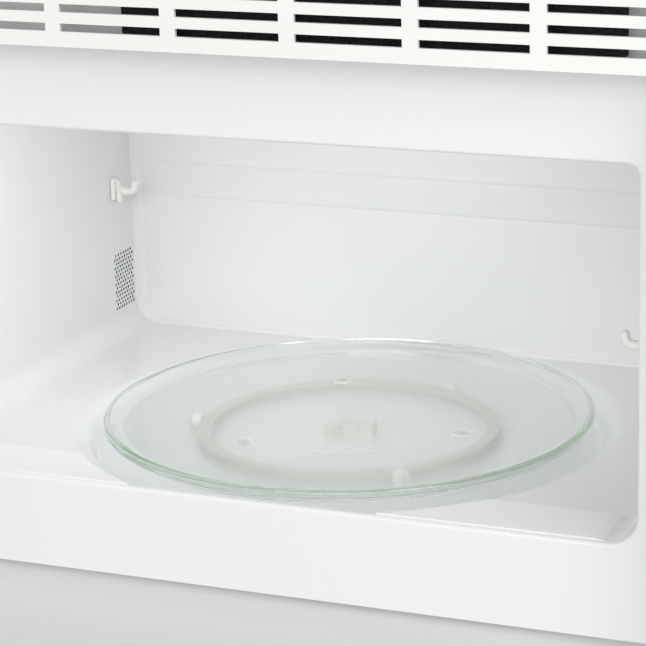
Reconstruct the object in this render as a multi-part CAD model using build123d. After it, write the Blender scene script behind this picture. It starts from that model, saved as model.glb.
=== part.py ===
from build123d import *
import math
import os

# Over the range microwave oven, door open. All sizes are in millimetres.
# X runs to the right, Y runs back to the wall, Z runs up. The origin lies in the wall plane,
# halfway across the width and halfway up the cabinet.

# ---------------------------------------------------------------- driving dimensions

# Fits
RUNNING = 0.06  # radial clearance of a shaft in its hole
CLEAR = 0.3  # gap between a moving part and what carries it
LOOSE = 1.0  # gap round a part that drops into an opening

# Cabinet
CABINET_WIDTH = 759.0
CABINET_HEIGHT = 420.0
CABINET_DEPTH = 375.0  # wall to the face of the front frame
CABINET_SHEET = 1.0
BASE_SHEET = 1.2
FRAME_SHEET = 1.2
FLANGE_WIDTH = 14.0  # turned-in edge along the foot of each side
WALL_PLATE_SHEET = 1.5
WALL_PLATE_EDGE = 18.0  # how far the wall plate stays inside the cabinet's outline
WALL_TAB_WIDTH = 40.0
WALL_TAB_REACH = 10.0
WALL_TAB_SHEET = 2.0
WALL_TAB_SPACING = 420.0
WALL_TAB_HEIGHT = 22.0  # above the cabinet's underside
LAG_SPACING_X = 406.4
LAG_SPACING_Z = 260.0
LAG_HOLE_R = 3.6
LAG_HEAD_R = 9.0  # clearance in the back panel for the bolts' heads
TOP_BOLT_SPACING = 508.0
TOP_BOLT_R = 3.5
TOP_BOLT_SETBACK = 60.0  # from the front frame's face
SCREW_HEAD_R = 3.8
SCREW_HEAD = 1.6
SCREW_SHANK_R = 1.9
SCREW_LENGTH = 7.0
SCREW_INSET = 40.0

# Cavity liner
CAVITY_WIDTH = 511.0
CAVITY_DEPTH = 356.0  # front frame's face to the pressed panel of the back wall
BLOWER_BAY = 108.0  # cavity ceiling to the cabinet's top
OPENING_DROP = 13.0  # cavity ceiling to the opening's upper edge
OPENING_CORNER_R = 7.0  # upper corners; the lower ones follow the floor's bend
FRAME_LIP = 4.5  # depth of the frame's edge turned in round the opening
FRAME_LIP_R = 2.5  # outer bend of that edge
FLOOR_HEIGHT = 62.0  # cavity floor above the cabinet's underside
CAVITY_HEIGHT = CABINET_HEIGHT - FLOOR_HEIGHT - BLOWER_BAY
OPENING_HEIGHT = CAVITY_HEIGHT - OPENING_DROP
LINER = 1.2
CEILING_BEND_R = 6.0
FLOOR_BEND_R = 19.0
FLOOR_UPSTAND = 21.2  # side flange of the floor pan, up to the seam
SILL_DEPTH = 51.0  # raised strip along the front of the floor
SILL_RISE = 1.2
SILL_END_SLOPE = 9.0
BACK_PRESS = 3.0  # depth of the pressed panel in the back wall
BACK_PRESS_EDGE = 4.0
BACK_PRESS_FOOT = 0.5
BACK_PRESS_CORNER_R = 9.0
BACK_CREASE_LOW = 105.0  # above the cavity floor
BACK_CREASE_HIGH = 132.0
VENT_ROWS = 14
VENT_COLUMNS = 8
VENT_PITCH_Y = 4.2
VENT_PITCH_Z = 3.25
VENT_HOLE_R = 1.15
VENT_FROM_BACK = 4.5
VENT_LOW = 19.6  # lowest row above the cavity floor

# Turntable and its drive
TURNTABLE_R = 171.5
TURNTABLE_SETBACK = 176.0  # centre behind the front frame's face
TURNTABLE_OFFSET = 3.0  # centre to the left of the cavity's middle
RIM_ABOVE_FLOOR = 8.3
TURNTABLE_HEIGHT = 12.0
PLATE_THICKNESS = 5.0
RIM_WIDTH = 4.5
RIM_SLOPE = 13.0
PLATE_BUMP_R = 87.0
PLATE_BUMP_SIZE = 8.5
PLATE_BUMP_RISE = 1.6
RECESS_DEPTH = 16.0
RECESS_FOOT_GAP = 4.6  # turntable's edge to the foot of the recess
RECESS_SLOPE = 7.5
RECESS_BROW_R = 14.0  # wide bend where the floor turns down
RECESS_FOOT_R = 4.0  # tight bend at the foot of the slope
WHEEL_TRACK_R = 110.0
WHEEL_WIDTH = 7.0
WHEEL_AXLE_R = 1.5
WHEEL_COUNT = 3
RING_R = 101.0
RING_WIDTH = 9.0
RING_THICKNESS = 4.0
HUB_R = 10.0
HUB_LOBE_REACH = 19.0
HUB_LOBE_WIDTH = 9.0
MOTOR_SHAFT_R = 3.0
TURNTABLE_MOTOR_R = 24.5
TURNTABLE_MOTOR_HEIGHT = 15.0
LUG_R = 3.0
LUG_REACH = 15.0

# Rack supports on the cavity's side walls
SUPPORT_WIDTH = 10.0
SUPPORT_REACH = 25.0
SUPPORT_HEIGHT = 21.0
SUPPORT_FOOT = 4.0
SUPPORT_THICK = 4.2
SUPPORT_HOOK_R = 6.0
SUPPORT_LOW = 106.0  # foot plate above the cavity floor
SUPPORT_ARM = 7.0  # arm above the foot plate's lower end
SUPPORT_TIP = 16.5  # hook's tip above the foot plate's lower end
SUPPORT_REAR = 145.0  # behind the turntable's centre
SUPPORT_FRONT = 134.0  # in front of it

# Door, described shut and then swung open about its pins
DOOR_OPEN_ANGLE = 90.0
DOOR_WIDTH = 574.0
DOOR_BOTTOM = 5.5  # above the cabinet's underside
GRILLE_GAP = 4.5  # door's top to the grille
GRILLE_HEIGHT = 60.0
DOOR_HEIGHT = CABINET_HEIGHT - DOOR_BOTTOM - GRILLE_GAP - GRILLE_HEIGHT
DOOR_THICKNESS = 37.0
DOOR_BACK_GAP = 3.0  # shut door to the front frame
DOOR_SIDE_GAP = 1.5
DOOR_WALL = 3.0
DOOR_FACE = 5.0
WINDOW_WIDTH = 404.0
WINDOW_HEIGHT = OPENING_HEIGHT - 31.0
LENS_LEDGE = 10.0
WINDOW_CORNER_R = 12.0
INNER_CORNER_R = 8.0
FRONT_EDGE_R = 6.0  # upright front edges of the door, panel and grille
LENS_THICKNESS = 3.0
CHOKE_SHEET = 1.2
CHOKE_COVER_THICKNESS = 5.6
CHOKE_TAB_INSET = 60.0
INNER_WINDOW_THICKNESS = 1.5
HINGE_IN = 8.0  # hinge axis from the door's left edge
HINGE_FORWARD = 23.5  # hinge axis in front of the front frame's face
HINGE_PIN_R = 4.0
HINGE_PIN_DEPTH = 12.0
HINGE_BLOCK = 18.0
HINGE_LEG = 2.5
HINGE_ARM_WIDTH = 22.0
HINGE_LEG_REACH = 16.0
HANDLE_LENGTH = DOOR_HEIGHT - 60.0
HANDLE_WIDTH = 20.0
HANDLE_THICK = 15.0
HANDLE_STANDOFF = 30.0
HANDLE_FROM_EDGE = 28.0
HANDLE_POST_R = 7.0
HANDLE_SCREW_R = 2.5

# Latch and interlock
LATCH_FROM_EDGE = 16.5
LATCH_HOOK_SPACING = 170.0
LATCH_HOOK_THICK = 5.0
LATCH_HOOK_HEIGHT = 12.0
LATCH_HOOK_REACH = 22.0  # behind the shut door's back
LATCH_TRAVEL = 4.0
LATCH_BARB = 6.0
LATCH_BAR_DEPTH = 9.0
LATCH_BAR_WIDTH = 10.0
SPRING_R = 3.2
SPRING_WIRE_R = 0.5
SPRING_LENGTH = 24.0
SPRING_TURNS = 7
BRACKET_WALL = 3.0
BRACKET_LAP = 14.0  # bracket beyond the hooks, top and bottom
HOOK_SIDE_GAP = 3.0  # room for the hook's swing
HOOK_DROP_GAP = 0.8
HOOK_END_GAP = 2.0
FRAME_SLOT_GAP = 2.5
PANEL_SLOT_GAP = 1.0
SWITCH_SIZE = (9.0, 24.0, 15.0)
TERMINAL_SIZE = (5.0, 6.0, 0.8)
TERMINAL_PITCH = 4.5
SWITCH_COUNT = 2
PLUNGER_R = 1.5
PLUNGER_LENGTH = 8.0
PLUNGER_TRAVEL = 1.5

# Control panel
PANEL_WALL = 2.5
PANEL_GAP = 2.0
PANEL_WIDTH = CABINET_WIDTH - DOOR_SIDE_GAP - DOOR_WIDTH - PANEL_GAP
KEYPAD_SIDE = 20.75  # panel's edge to the keypad
KEYPAD_WIDTH = PANEL_WIDTH - 2 * KEYPAD_SIDE
DISPLAY_WIDTH = KEYPAD_WIDTH - 48.0
DISPLAY_HEIGHT = 30.0
DISPLAY_DROP = 34.0  # panel's top to the display's top
DISPLAY_LENS = 2.0
KEYPAD_HEIGHT = DOOR_HEIGHT - 64.0
KEYPAD_SHEET = 0.8
BOARD_THICKNESS = 1.6
BOARD_DROP = 20.0  # board's centre below the display's
BOARD_MARGIN = 13.0  # board beyond the display's height, top and bottom
RELAY_PLACES = (-0.27, 0.06)  # shares of the board's width from its middle
RELAY_WIDTH = KEYPAD_WIDTH / 7
RELAY_HEIGHT = 24.0
CONNECTOR_PLACE = 0.33
CONNECTOR_WIDTH = KEYPAD_WIDTH / 12
CONNECTOR_HEIGHT = 40.0
BOSS_R = 4.0
BOSS_INSET = 8.0
WIRING_HOLE = 60.0
BOARD_STANDOFF = 14.0

# Vent grille and filters
GRILLE_WALL = 2.5
SLOT_HEIGHT = 5.0
SLOT_ROWS = 4
SLOT_COLUMNS = 9
SLOT_RIB = 10.0
VENT_OPENING_WIDTH = 300.0
VENT_OPENING_HEIGHT = 36.0
CHARCOAL_LAP = 8.0
CHARCOAL_THICKNESS = 18.0
FILTER_WIDTH = 250.0
FILTER_DEPTH = 150.0
FILTER_THICKNESS = 9.0
FILTER_LAP = 8.0
FILTER_SLIDE = 7.0
FILTER_FROM_CENTRE = 200.0
FILTER_FROM_WALL = 150.0
FILTER_TAB = 14.0

# Cooktop lamp under the cabinet
LAMP_OPENING_WIDTH = 120.0
LAMP_OPENING_DEPTH = 56.0
LAMP_FROM_WALL = 330.0
LAMP_COVER_THICKNESS = 2.6
LAMP_COVER_LAP = 6.0
LAMP_BARREL_R = 1.3
LAMP_PIN_R = 0.8
LAMP_BOX_HEIGHT = 32.0
BULB_R = 11.0
BULB_LENGTH = 34.0

# Exhaust and blower
DUCT_WIDTH = 254.0
DUCT_DEPTH = 83.0
DUCT_HEIGHT = 45.0
DUCT_SHEET = 1.2
DUCT_FLANGE = 14.0
DUCT_FROM_WALL = 72.0
DAMPER_SHEET = 0.8
DAMPER_LIFT = 12.0
DAMPER_PIN_R = 1.5
BLOWER_WHEEL_R = 40.0
BLOWER_WHEEL_LENGTH = 80.0
BLOWER_BLADES = 24
BLOWER_SHAFT_R = 4.0
BLOWER_MOTOR_R = 36.0
BLOWER_MOTOR_LENGTH = 76.0
BLOWER_HOUSING_DEPTH = 98.0
BLOWER_SCROLL_R = 30.0
BLOWER_HOUSING_SHEET = 1.0
BLOWER_INLET_R = 32.0

# Microwave power parts in the right-hand compartment
SHELF_HEIGHT = 46.0
WAVEGUIDE = (34.0, 96.0, 56.0)
WAVEGUIDE_FROM_WALL = 190.0
WAVEGUIDE_ABOVE_FLOOR = 120.0
MICA_SHEET = 0.5
MICA_LAP = 8.0
MAGNETRON = (64.0, 88.0, 78.0)
MAGNETRON_FINS = 6
ANTENNA_R = 8.0
ANTENNA_LENGTH = 24.0
TRANSFORMER = (96.0, 84.0, 78.0)
TRANSFORMER_FROM_WALL = 120.0
CAPACITOR = (52.0, 34.0, 84.0)
CAPACITOR_FROM_WALL = 230.0
CAPACITOR_TAG = (8.0, 1.0, 6.0)
CAPACITOR_TAG_PITCH = 20.0
POWER_PARTS_RIGHT = 20.0  # right of the compartment's middle
FAN_R = 52.0
FAN_BLADES = 5
FAN_HUB_R = 14.0
FAN_SHROUD_DEPTH = 44.0
FAN_SHROUD_WALL = 3.0
FAN_MOTOR_R = 20.0
FAN_MOTOR_LENGTH = 18.0
FAN_SHAFT_R = 2.5
GLAND_R = 11.0
GLAND_NECK_R = 9.0
GLAND_BORE_R = 4.6
GLAND_LENGTH = 18.0
GLAND_FROM_RIGHT = 60.0
GLAND_FROM_WALL = 45.0
CAVITY_LAMP_HOLE_R = 1.6
CAVITY_LAMP_HOLES = (7, 5)
CAVITY_LAMP_PITCH = 5.5
CAVITY_LAMP_BOX = (62.0, 48.0, 40.0)

# ---------------------------------------------------------------- places worked out from them

LEFT_X = -CABINET_WIDTH / 2
RIGHT_X = CABINET_WIDTH / 2
BASE_Z = -CABINET_HEIGHT / 2
TOP_Z = CABINET_HEIGHT / 2
FRONT_Y = -CABINET_DEPTH
FRAME_BACK_Y = FRONT_Y + FRAME_SHEET
LINER_FRONT_Y = FRONT_Y + FRAME_LIP
BACK_Y = -WALL_PLATE_SHEET
BACK_IN_Y = BACK_Y - CABINET_SHEET
DECK_Z = BASE_Z + BASE_SHEET

DOOR_LEFT = LEFT_X + DOOR_SIDE_GAP
DOOR_RIGHT = DOOR_LEFT + DOOR_WIDTH
DOOR_BACK = FRONT_Y - DOOR_BACK_GAP
DOOR_FRONT = DOOR_BACK - DOOR_THICKNESS
DOOR_LOW = BASE_Z + DOOR_BOTTOM
DOOR_HIGH = DOOR_LOW + DOOR_HEIGHT
DOOR_X = (DOOR_LEFT + DOOR_RIGHT) / 2
DOOR_Z = (DOOR_LOW + DOOR_HIGH) / 2
HINGE_X = DOOR_LEFT + HINGE_IN
HINGE_Y = FRONT_Y - HINGE_FORWARD

CAVITY_X = DOOR_X
CAVITY_LEFT = CAVITY_X - CAVITY_WIDTH / 2
CAVITY_RIGHT = CAVITY_X + CAVITY_WIDTH / 2
FLOOR_Z = BASE_Z + FLOOR_HEIGHT
SEAM_Z = FLOOR_Z + FLOOR_UPSTAND
CEILING_Z = FLOOR_Z + CAVITY_HEIGHT
OPENING_TOP = FLOOR_Z + OPENING_HEIGHT
PRESSED_Y = FRONT_Y + CAVITY_DEPTH
LINER_BACK_Y = PRESSED_Y - BACK_PRESS
RECESS_Z = FLOOR_Z - RECESS_DEPTH
WINDOW_Z = (FLOOR_Z + OPENING_TOP) / 2

TURN_X = CAVITY_X - TURNTABLE_OFFSET
TURN_Y = FRONT_Y + TURNTABLE_SETBACK
RIM_Z = FLOOR_Z + RIM_ABOVE_FLOOR
GLASS_LOW = RIM_Z - TURNTABLE_HEIGHT
RECESS_LOW_R = TURNTABLE_R + RECESS_FOOT_GAP
RECESS_TOP_R = RECESS_LOW_R + RECESS_SLOPE
RECESS_TILT = math.atan2(RECESS_DEPTH, RECESS_SLOPE)
RECESS_EDGE_R = RECESS_TOP_R + RECESS_BROW_R * math.tan(RECESS_TILT / 2)  # edge of the flat floor
WHEEL_R = (GLASS_LOW - RECESS_Z) / 2 - CLEAR
AXLE_Z = (GLASS_LOW + RECESS_Z) / 2

PANEL_LEFT = DOOR_RIGHT + PANEL_GAP
PANEL_X = (PANEL_LEFT + RIGHT_X) / 2
GRILLE_LOW = DOOR_HIGH + GRILLE_GAP
GRILLE_Z = (GRILLE_LOW + TOP_Z) / 2
LATCH_X = DOOR_RIGHT - LATCH_FROM_EDGE
SHELF_Z = BASE_Z + SHELF_HEIGHT
COMPARTMENT_LEFT = CAVITY_RIGHT + LINER
COMPARTMENT_X = (COMPARTMENT_LEFT + RIGHT_X - CABINET_SHEET) / 2
WAVEGUIDE_Y = -WAVEGUIDE_FROM_WALL
WAVEGUIDE_Z = FLOOR_Z + WAVEGUIDE_ABOVE_FLOOR
WAVEGUIDE_RIGHT = COMPARTMENT_LEFT + WAVEGUIDE[0]
DUCT_Y = -DUCT_FROM_WALL
BLOWER_LOW = CEILING_Z + LINER
BLOWER_HIGH = TOP_Z - CABINET_SHEET
BLOWER_Z = (BLOWER_LOW + BLOWER_HIGH) / 2
LAMP_Y = -LAMP_FROM_WALL


# ---------------------------------------------------------------- small helpers


def block(x0, x1, y0, y1, z0, z1):
    """A box between two corners."""
    centre = ((x0 + x1) / 2, (y0 + y1) / 2, (z0 + z1) / 2)
    return Pos(*centre) * Box(x1 - x0, y1 - y0, z1 - z0)


def block_at(centre, size):
    """A box of the given size about its centre."""
    return Pos(*centre) * Box(*size)


def rod(start, axis, radius, length):
    """A cylinder from a start point along X, Y or Z; a negative length runs the other way."""
    turn = {"X": Rot(0, 90, 0), "Y": Rot(-90, 0, 0), "Z": Rot(0, 0, 0)}[axis]
    step = {"X": (1, 0, 0), "Y": (0, 1, 0), "Z": (0, 0, 1)}[axis]
    middle = [s + d * length / 2 for s, d in zip(start, step)]
    return Pos(*middle) * turn * Cylinder(radius, abs(length))


def lathe(points):
    """A closed outline of (radius, height) points turned about the Z axis."""
    outline = make_face(Polyline([(r, 0, z) for r, z in points], close=True))
    return revolve(outline, Axis.Z)


def prism_along_x(points, x0, x1):
    """A closed outline of (y, z) points carried from x0 to x1."""
    outline = make_face(Polyline([(x0, y, z) for y, z in points], close=True))
    return extrude(outline, x1 - x0, dir=(1, 0, 0))


def prism_along_y(points, y0, y1):
    """A closed outline of (x, z) points carried from y0 to y1."""
    outline = make_face(Polyline([(x, y0, z) for x, z in points], close=True))
    return extrude(outline, y1 - y0, dir=(0, 1, 0))


def rounded_block(centre, size, radius, axis=Axis.Z):
    """A box whose four edges along one axis are rounded."""
    body = Box(*size)
    return Pos(*centre) * fillet(body.edges().filter_by(axis), radius)


def shell_open_back(x0, x1, y0, y1, z0, z1, face, wall):
    """A tray with a front face at y0, walls all round and no back at y1."""
    body = block(x0, x1, y0, y1, z0, z1)
    return body - block(x0 + wall, x1 - wall, y0 + face, y1 + wall, z0 + wall, z1 - wall)


def swing_open(shape):
    """Turns a door piece from shut to its open place about the hinge pins."""
    return shape.rotate(Axis((HINGE_X, HINGE_Y, 0), (0, 0, 1)), -DOOR_OPEN_ANGLE)


def group(pieces):
    """Separate solids kept together in one node."""
    return Compound(children=[piece for piece in pieces])


# ---------------------------------------------------------------- cabinet


def top_bolt_places():
    """The two cabinet bolts through the top, side by side near the front."""
    y = FRONT_Y + TOP_BOLT_SETBACK
    return [(-TOP_BOLT_SPACING / 2, y), (TOP_BOLT_SPACING / 2, y)]


def gland_place():
    """Where the supply cord passes through the top."""
    return (RIGHT_X - GLAND_FROM_RIGHT, -GLAND_FROM_WALL)


def duct_hole(z0, z1):
    """The rectangular way through the exhaust collar."""
    return block_at(
        (0, DUCT_Y, (z0 + z1) / 2),
        (DUCT_WIDTH - 2 * DUCT_SHEET, DUCT_DEPTH - 2 * DUCT_SHEET, z1 - z0),
    )


def cabinet_wrap():
    """One folded sheet: the top, both sides and the turned-in feet of the sides."""
    inner_left = LEFT_X + CABINET_SHEET
    inner_right = RIGHT_X - CABINET_SHEET
    body = block(LEFT_X, RIGHT_X, FRAME_BACK_Y, BACK_IN_Y, DECK_Z, TOP_Z)
    body -= block(inner_left, inner_right, FRAME_BACK_Y - 1, BACK_IN_Y + 1, DECK_Z - 1, TOP_Z - CABINET_SHEET)
    for x0, x1 in ((inner_left, inner_left + FLANGE_WIDTH), (inner_right - FLANGE_WIDTH, inner_right)):
        body += block(x0, x1, FRAME_BACK_Y, BACK_IN_Y, DECK_Z, DECK_Z + CABINET_SHEET)
    for x, y in top_bolt_places():
        body -= rod((x, y, TOP_Z - 2 * CABINET_SHEET), "Z", TOP_BOLT_R, 4 * CABINET_SHEET)
    body -= duct_hole(TOP_Z - 2 * CABINET_SHEET, TOP_Z + CABINET_SHEET)
    gland_x, gland_y = gland_place()
    body -= rod((gland_x, gland_y, TOP_Z - 2 * CABINET_SHEET), "Z", GLAND_NECK_R, 4 * CABINET_SHEET)
    for x, y in base_screw_places():
        body -= rod((x, y, DECK_Z - 1), "Z", SCREW_SHANK_R, 4 * CABINET_SHEET)
    return body


def wall_tab_places():
    """The two hooks at the foot of the wall plate that carry the cabinet's back."""
    return [-WALL_TAB_SPACING / 2, WALL_TAB_SPACING / 2]


def back_panel():
    body = block(LEFT_X, RIGHT_X, BACK_IN_Y, BACK_Y, BASE_Z, TOP_Z)
    tab_z = BASE_Z + WALL_TAB_HEIGHT
    for x in wall_tab_places():
        slot = (WALL_TAB_WIDTH + 2 * CLEAR, 4 * CABINET_SHEET, WALL_TAB_SHEET)
        body -= block_at((x, BACK_Y, tab_z), slot)
    return body - lag_holes(LAG_HEAD_R)


def lag_holes(radius):
    """Cutters at the four wall bolts, through both the wall plate and the back panel."""
    places = [(x, z) for x in (-LAG_SPACING_X / 2, LAG_SPACING_X / 2) for z in (-LAG_SPACING_Z / 2, LAG_SPACING_Z / 2)]
    return [rod((x, 1, z), "Y", radius, BACK_IN_Y - 2) for x, z in places]


def mounting_plate():
    """The steel plate that is bolted to the wall; its tabs reach through the back panel."""
    body = block(
        LEFT_X + WALL_PLATE_EDGE,
        RIGHT_X - WALL_PLATE_EDGE,
        BACK_Y,
        0,
        BASE_Z + WALL_PLATE_EDGE / 3,
        TOP_Z - WALL_PLATE_EDGE,
    )
    body -= lag_holes(LAG_HOLE_R)
    tab_z = BASE_Z + WALL_TAB_HEIGHT
    for x in wall_tab_places():
        body += block_at(
            (x, BACK_Y - WALL_TAB_REACH / 2, tab_z),
            (WALL_TAB_WIDTH, WALL_TAB_REACH, WALL_TAB_SHEET),
        )
        body += block_at(
            (x, BACK_Y - WALL_TAB_REACH + WALL_TAB_SHEET / 2, tab_z + WALL_TAB_SHEET),
            (WALL_TAB_WIDTH, WALL_TAB_SHEET, 3 * WALL_TAB_SHEET),
        )
    return body


def filter_centres():
    return [(-FILTER_FROM_CENTRE, -FILTER_FROM_WALL), (FILTER_FROM_CENTRE, -FILTER_FROM_WALL)]


def base_screw_places():
    """Screws along both side flanges."""
    inset = FLANGE_WIDTH / 2 + CABINET_SHEET
    rows = (FRONT_Y + SCREW_INSET, (FRONT_Y + BACK_Y) / 2, BACK_Y - SCREW_INSET)
    return [(x, y) for x in (LEFT_X + inset, RIGHT_X - inset) for y in rows]


def base_plate():
    """The underside, with two filter openings, the lamp opening and the filters' guide rails."""
    body = block(LEFT_X, RIGHT_X, FRAME_BACK_Y, BACK_IN_Y, BASE_Z, DECK_Z)
    rail = FILTER_THICKNESS / 2
    for x, y in filter_centres():
        opening = (FILTER_WIDTH - 2 * FILTER_LAP - FILTER_SLIDE, FILTER_DEPTH - 2 * FILTER_LAP, 4 * BASE_SHEET)
        body -= block_at((x + FILTER_SLIDE / 2, y, BASE_Z), opening)
        for side in (-1, 1):
            rail_y = y + side * (FILTER_DEPTH / 2 + CLEAR + rail / 2)
            body += block_at((x + FILTER_SLIDE / 2, rail_y, DECK_Z + rail / 2), (FILTER_WIDTH, rail, rail))
    body -= block_at((0, LAMP_Y, BASE_Z), (LAMP_OPENING_WIDTH, LAMP_OPENING_DEPTH, 4 * BASE_SHEET))
    for ear_x in lamp_ear_places():
        body += lamp_ear(ear_x)
    for x, y in base_screw_places():
        body -= rod((x, y, BASE_Z - 1), "Z", SCREW_SHANK_R, 4 * BASE_SHEET)
    return body


def base_screws():
    """Pan-head screws from below through the base plate and the flanges."""
    pieces = []
    for x, y in base_screw_places():
        head = rod((x, y, BASE_Z), "Z", SCREW_HEAD_R, -SCREW_HEAD)
        shank = rod((x, y, BASE_Z), "Z", SCREW_SHANK_R, SCREW_LENGTH)
        slot = block_at((x, y, BASE_Z - SCREW_HEAD), (SCREW_HEAD_R, SCREW_HEAD / 2, SCREW_HEAD))
        pieces.append(head + shank - slot)
    return group(pieces)


def latch_hook_heights():
    return [DOOR_Z - LATCH_HOOK_SPACING / 2, DOOR_Z + LATCH_HOOK_SPACING / 2]


def latch_slot(z, y0, y1, room):
    """Clear way for one hook: its size, its lift and room for the swing of the door."""
    width = LATCH_HOOK_THICK + 2 * room
    low = z - LATCH_HOOK_HEIGHT / 2 - room
    high = z + LATCH_HOOK_HEIGHT / 2 + LATCH_TRAVEL + room
    return block(LATCH_X - width / 2, LATCH_X + width / 2, y0, y1, low, high)


def opening_block(grow, y0, y1):
    """The cavity's opening as a solid between two depths, grown by one width all round."""
    size = (CAVITY_WIDTH + 2 * grow, y1 - y0, OPENING_HEIGHT + 2 * grow)
    body = block_at((CAVITY_X, (y0 + y1) / 2, WINDOW_Z), size)
    body = fillet(body.edges().filter_by(Axis.Y).group_by(Axis.Z)[0], FLOOR_BEND_R + grow)
    return fillet(body.edges().filter_by(Axis.Y).group_by(Axis.Z)[-1], OPENING_CORNER_R + grow)


def bent_ring(grow, front, back, bend):
    """A thick ring round the opening whose front inner edge is rounded by the bend."""
    body = opening_block(2 * FRAME_LIP_R, front, back) - opening_block(grow, front - 1, back + 1)
    face = body.faces().sort_by(Axis.Y)[0]
    return fillet(face.inner_wires()[0].edges(), bend)


def frame_lip():
    """The frame's edge round the opening, turned into the cavity to meet the liner."""
    outer = bent_ring(0, FRONT_Y, LINER_FRONT_Y, FRAME_LIP_R)
    return outer - bent_ring(FRAME_SHEET, FRAME_BACK_Y, LINER_FRONT_Y + 1, FRAME_LIP_R - FRAME_SHEET)


def front_frame():
    """The white front plate, with its edge turned in round the cavity opening."""
    body = block(LEFT_X, RIGHT_X, FRONT_Y, FRAME_BACK_Y, BASE_Z, TOP_Z)
    body = body - opening_block(2 * FRAME_LIP_R, FRONT_Y - 1, FRAME_BACK_Y + 1) + frame_lip()
    body -= block_at((0, FRONT_Y, GRILLE_Z), (VENT_OPENING_WIDTH, 4 * FRAME_SHEET, VENT_OPENING_HEIGHT))
    for z in latch_hook_heights():
        body -= latch_slot(z, FRONT_Y - 1, FRAME_BACK_Y + 1, FRAME_SLOT_GAP)
    for z in hinge_leg_heights():
        x0, x1 = HINGE_X - HINGE_IN, HINGE_X + HINGE_ARM_WIDTH / 2
        body -= block(x0, x1, FRONT_Y - 1, FRAME_BACK_Y + 1, z - HINGE_LEG / 2, z + HINGE_LEG / 2)
    wiring = (WIRING_HOLE, 4 * FRAME_SHEET, WIRING_HOLE)
    body -= block_at((PANEL_X, FRONT_Y, DOOR_Z), wiring)
    return body


# ---------------------------------------------------------------- cavity liner


def recess_section(low_r):
    """Outline of the recess sheet from the radius low_r out to the flat floor."""
    shift = LINER * math.tan(RECESS_TILT / 2)
    outer_r = RECESS_EDGE_R + LINER
    upper = [(low_r, RECESS_Z), (RECESS_LOW_R, RECESS_Z), (RECESS_TOP_R, FLOOR_Z), (outer_r, FLOOR_Z)]
    lower = [
        (outer_r, FLOOR_Z - LINER),
        (RECESS_TOP_R + shift, FLOOR_Z - LINER),
        (RECESS_LOW_R + shift, RECESS_Z - LINER),
        (low_r, RECESS_Z - LINER),
    ]
    points = [(r, 0, z) for r, z in upper + lower]
    bends = [0, RECESS_FOOT_R, RECESS_BROW_R, 0, 0, RECESS_BROW_R - LINER, RECESS_FOOT_R + LINER, 0]
    return make_face(FilletPolyline(*points, radius=bends, close=True)), outer_r


def floor_trough():
    """The flat floor with its bent-up sides, as one sheet carried from front to back."""
    half = CAVITY_WIDTH / 2
    outer = half + LINER
    body = block(CAVITY_X - outer, CAVITY_X + outer, LINER_FRONT_Y, LINER_BACK_Y, FLOOR_Z - LINER, SEAM_Z)
    body = fillet(body.edges().filter_by(Axis.Y).group_by(Axis.Z)[0], FLOOR_BEND_R + LINER)
    hollow = block(CAVITY_LEFT, CAVITY_RIGHT, LINER_FRONT_Y - 1, LINER_BACK_Y + 1, FLOOR_Z, SEAM_Z + 2 * FLOOR_BEND_R)
    hollow = fillet(hollow.edges().filter_by(Axis.Y).group_by(Axis.Z)[0], FLOOR_BEND_R)
    return body - hollow


def cavity_floor():
    """Floor pan with the turntable recess, the raised front sill and the motor's shaft hole."""
    shaft_hole = MOTOR_SHAFT_R + 2 * LOOSE
    section, outer_r = recess_section(shaft_hole)
    dish = Pos(TURN_X, TURN_Y, 0) * revolve(section, Axis.Z)
    room = block(CAVITY_LEFT, CAVITY_RIGHT, LINER_FRONT_Y, LINER_BACK_Y, RECESS_Z - 2 * LINER, FLOOR_Z)
    under_lip = FLOOR_Z - FRAME_LIP_R - FRAME_SHEET
    room += block(CAVITY_LEFT, CAVITY_RIGHT, FRAME_BACK_Y, LINER_FRONT_Y, RECESS_Z - 2 * LINER, under_lip)
    dish &= room
    hole = rod((TURN_X, TURN_Y, FLOOR_Z - 2 * LINER), "Z", outer_r, 3 * LINER)
    sill_left = CAVITY_LEFT + FLOOR_BEND_R
    sill_right = CAVITY_RIGHT - FLOOR_BEND_R
    flat_left, flat_right = sill_left + SILL_END_SLOPE, sill_right - SILL_END_SLOPE
    high = FLOOR_Z + SILL_RISE
    ends = [(sill_left, FLOOR_Z), (flat_left, high), (flat_right, high), (sill_right, FLOOR_Z)]
    sill = prism_along_y(ends, LINER_FRONT_Y, FRONT_Y + SILL_DEPTH)
    sill = chamfer(sill.edges().filter_by(Axis.X).group_by(Axis.Y)[-1].sort_by(Axis.Z)[-1], 0.9 * SILL_RISE)
    sill -= rod((TURN_X, TURN_Y, FLOOR_Z), "Z", RECESS_EDGE_R, 2 * SILL_RISE)
    return floor_trough() - hole + dish + sill - vent_holes(FLOOR_Z, SEAM_Z)


def vent_holes(low, high):
    """The vent's holes between two heights; every other row has one fewer and sits half a pitch along."""
    last_y = LINER_BACK_Y - VENT_FROM_BACK
    holes = []
    for row in range(VENT_ROWS):
        z = FLOOR_Z + VENT_LOW + row * VENT_PITCH_Z
        if not low < z < high:
            continue
        for column in range(VENT_COLUMNS - row % 2):
            y = last_y - (column + (row % 2) / 2) * VENT_PITCH_Y
            holes.append(rod((CAVITY_LEFT - 2 * LINER, y, z), "X", VENT_HOLE_R, 4 * LINER))
    return holes


def cavity_lamp_place():
    return (CAVITY_LEFT + CAVITY_LAMP_BOX[0], FRONT_Y + 2 * CAVITY_LAMP_BOX[1])


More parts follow.
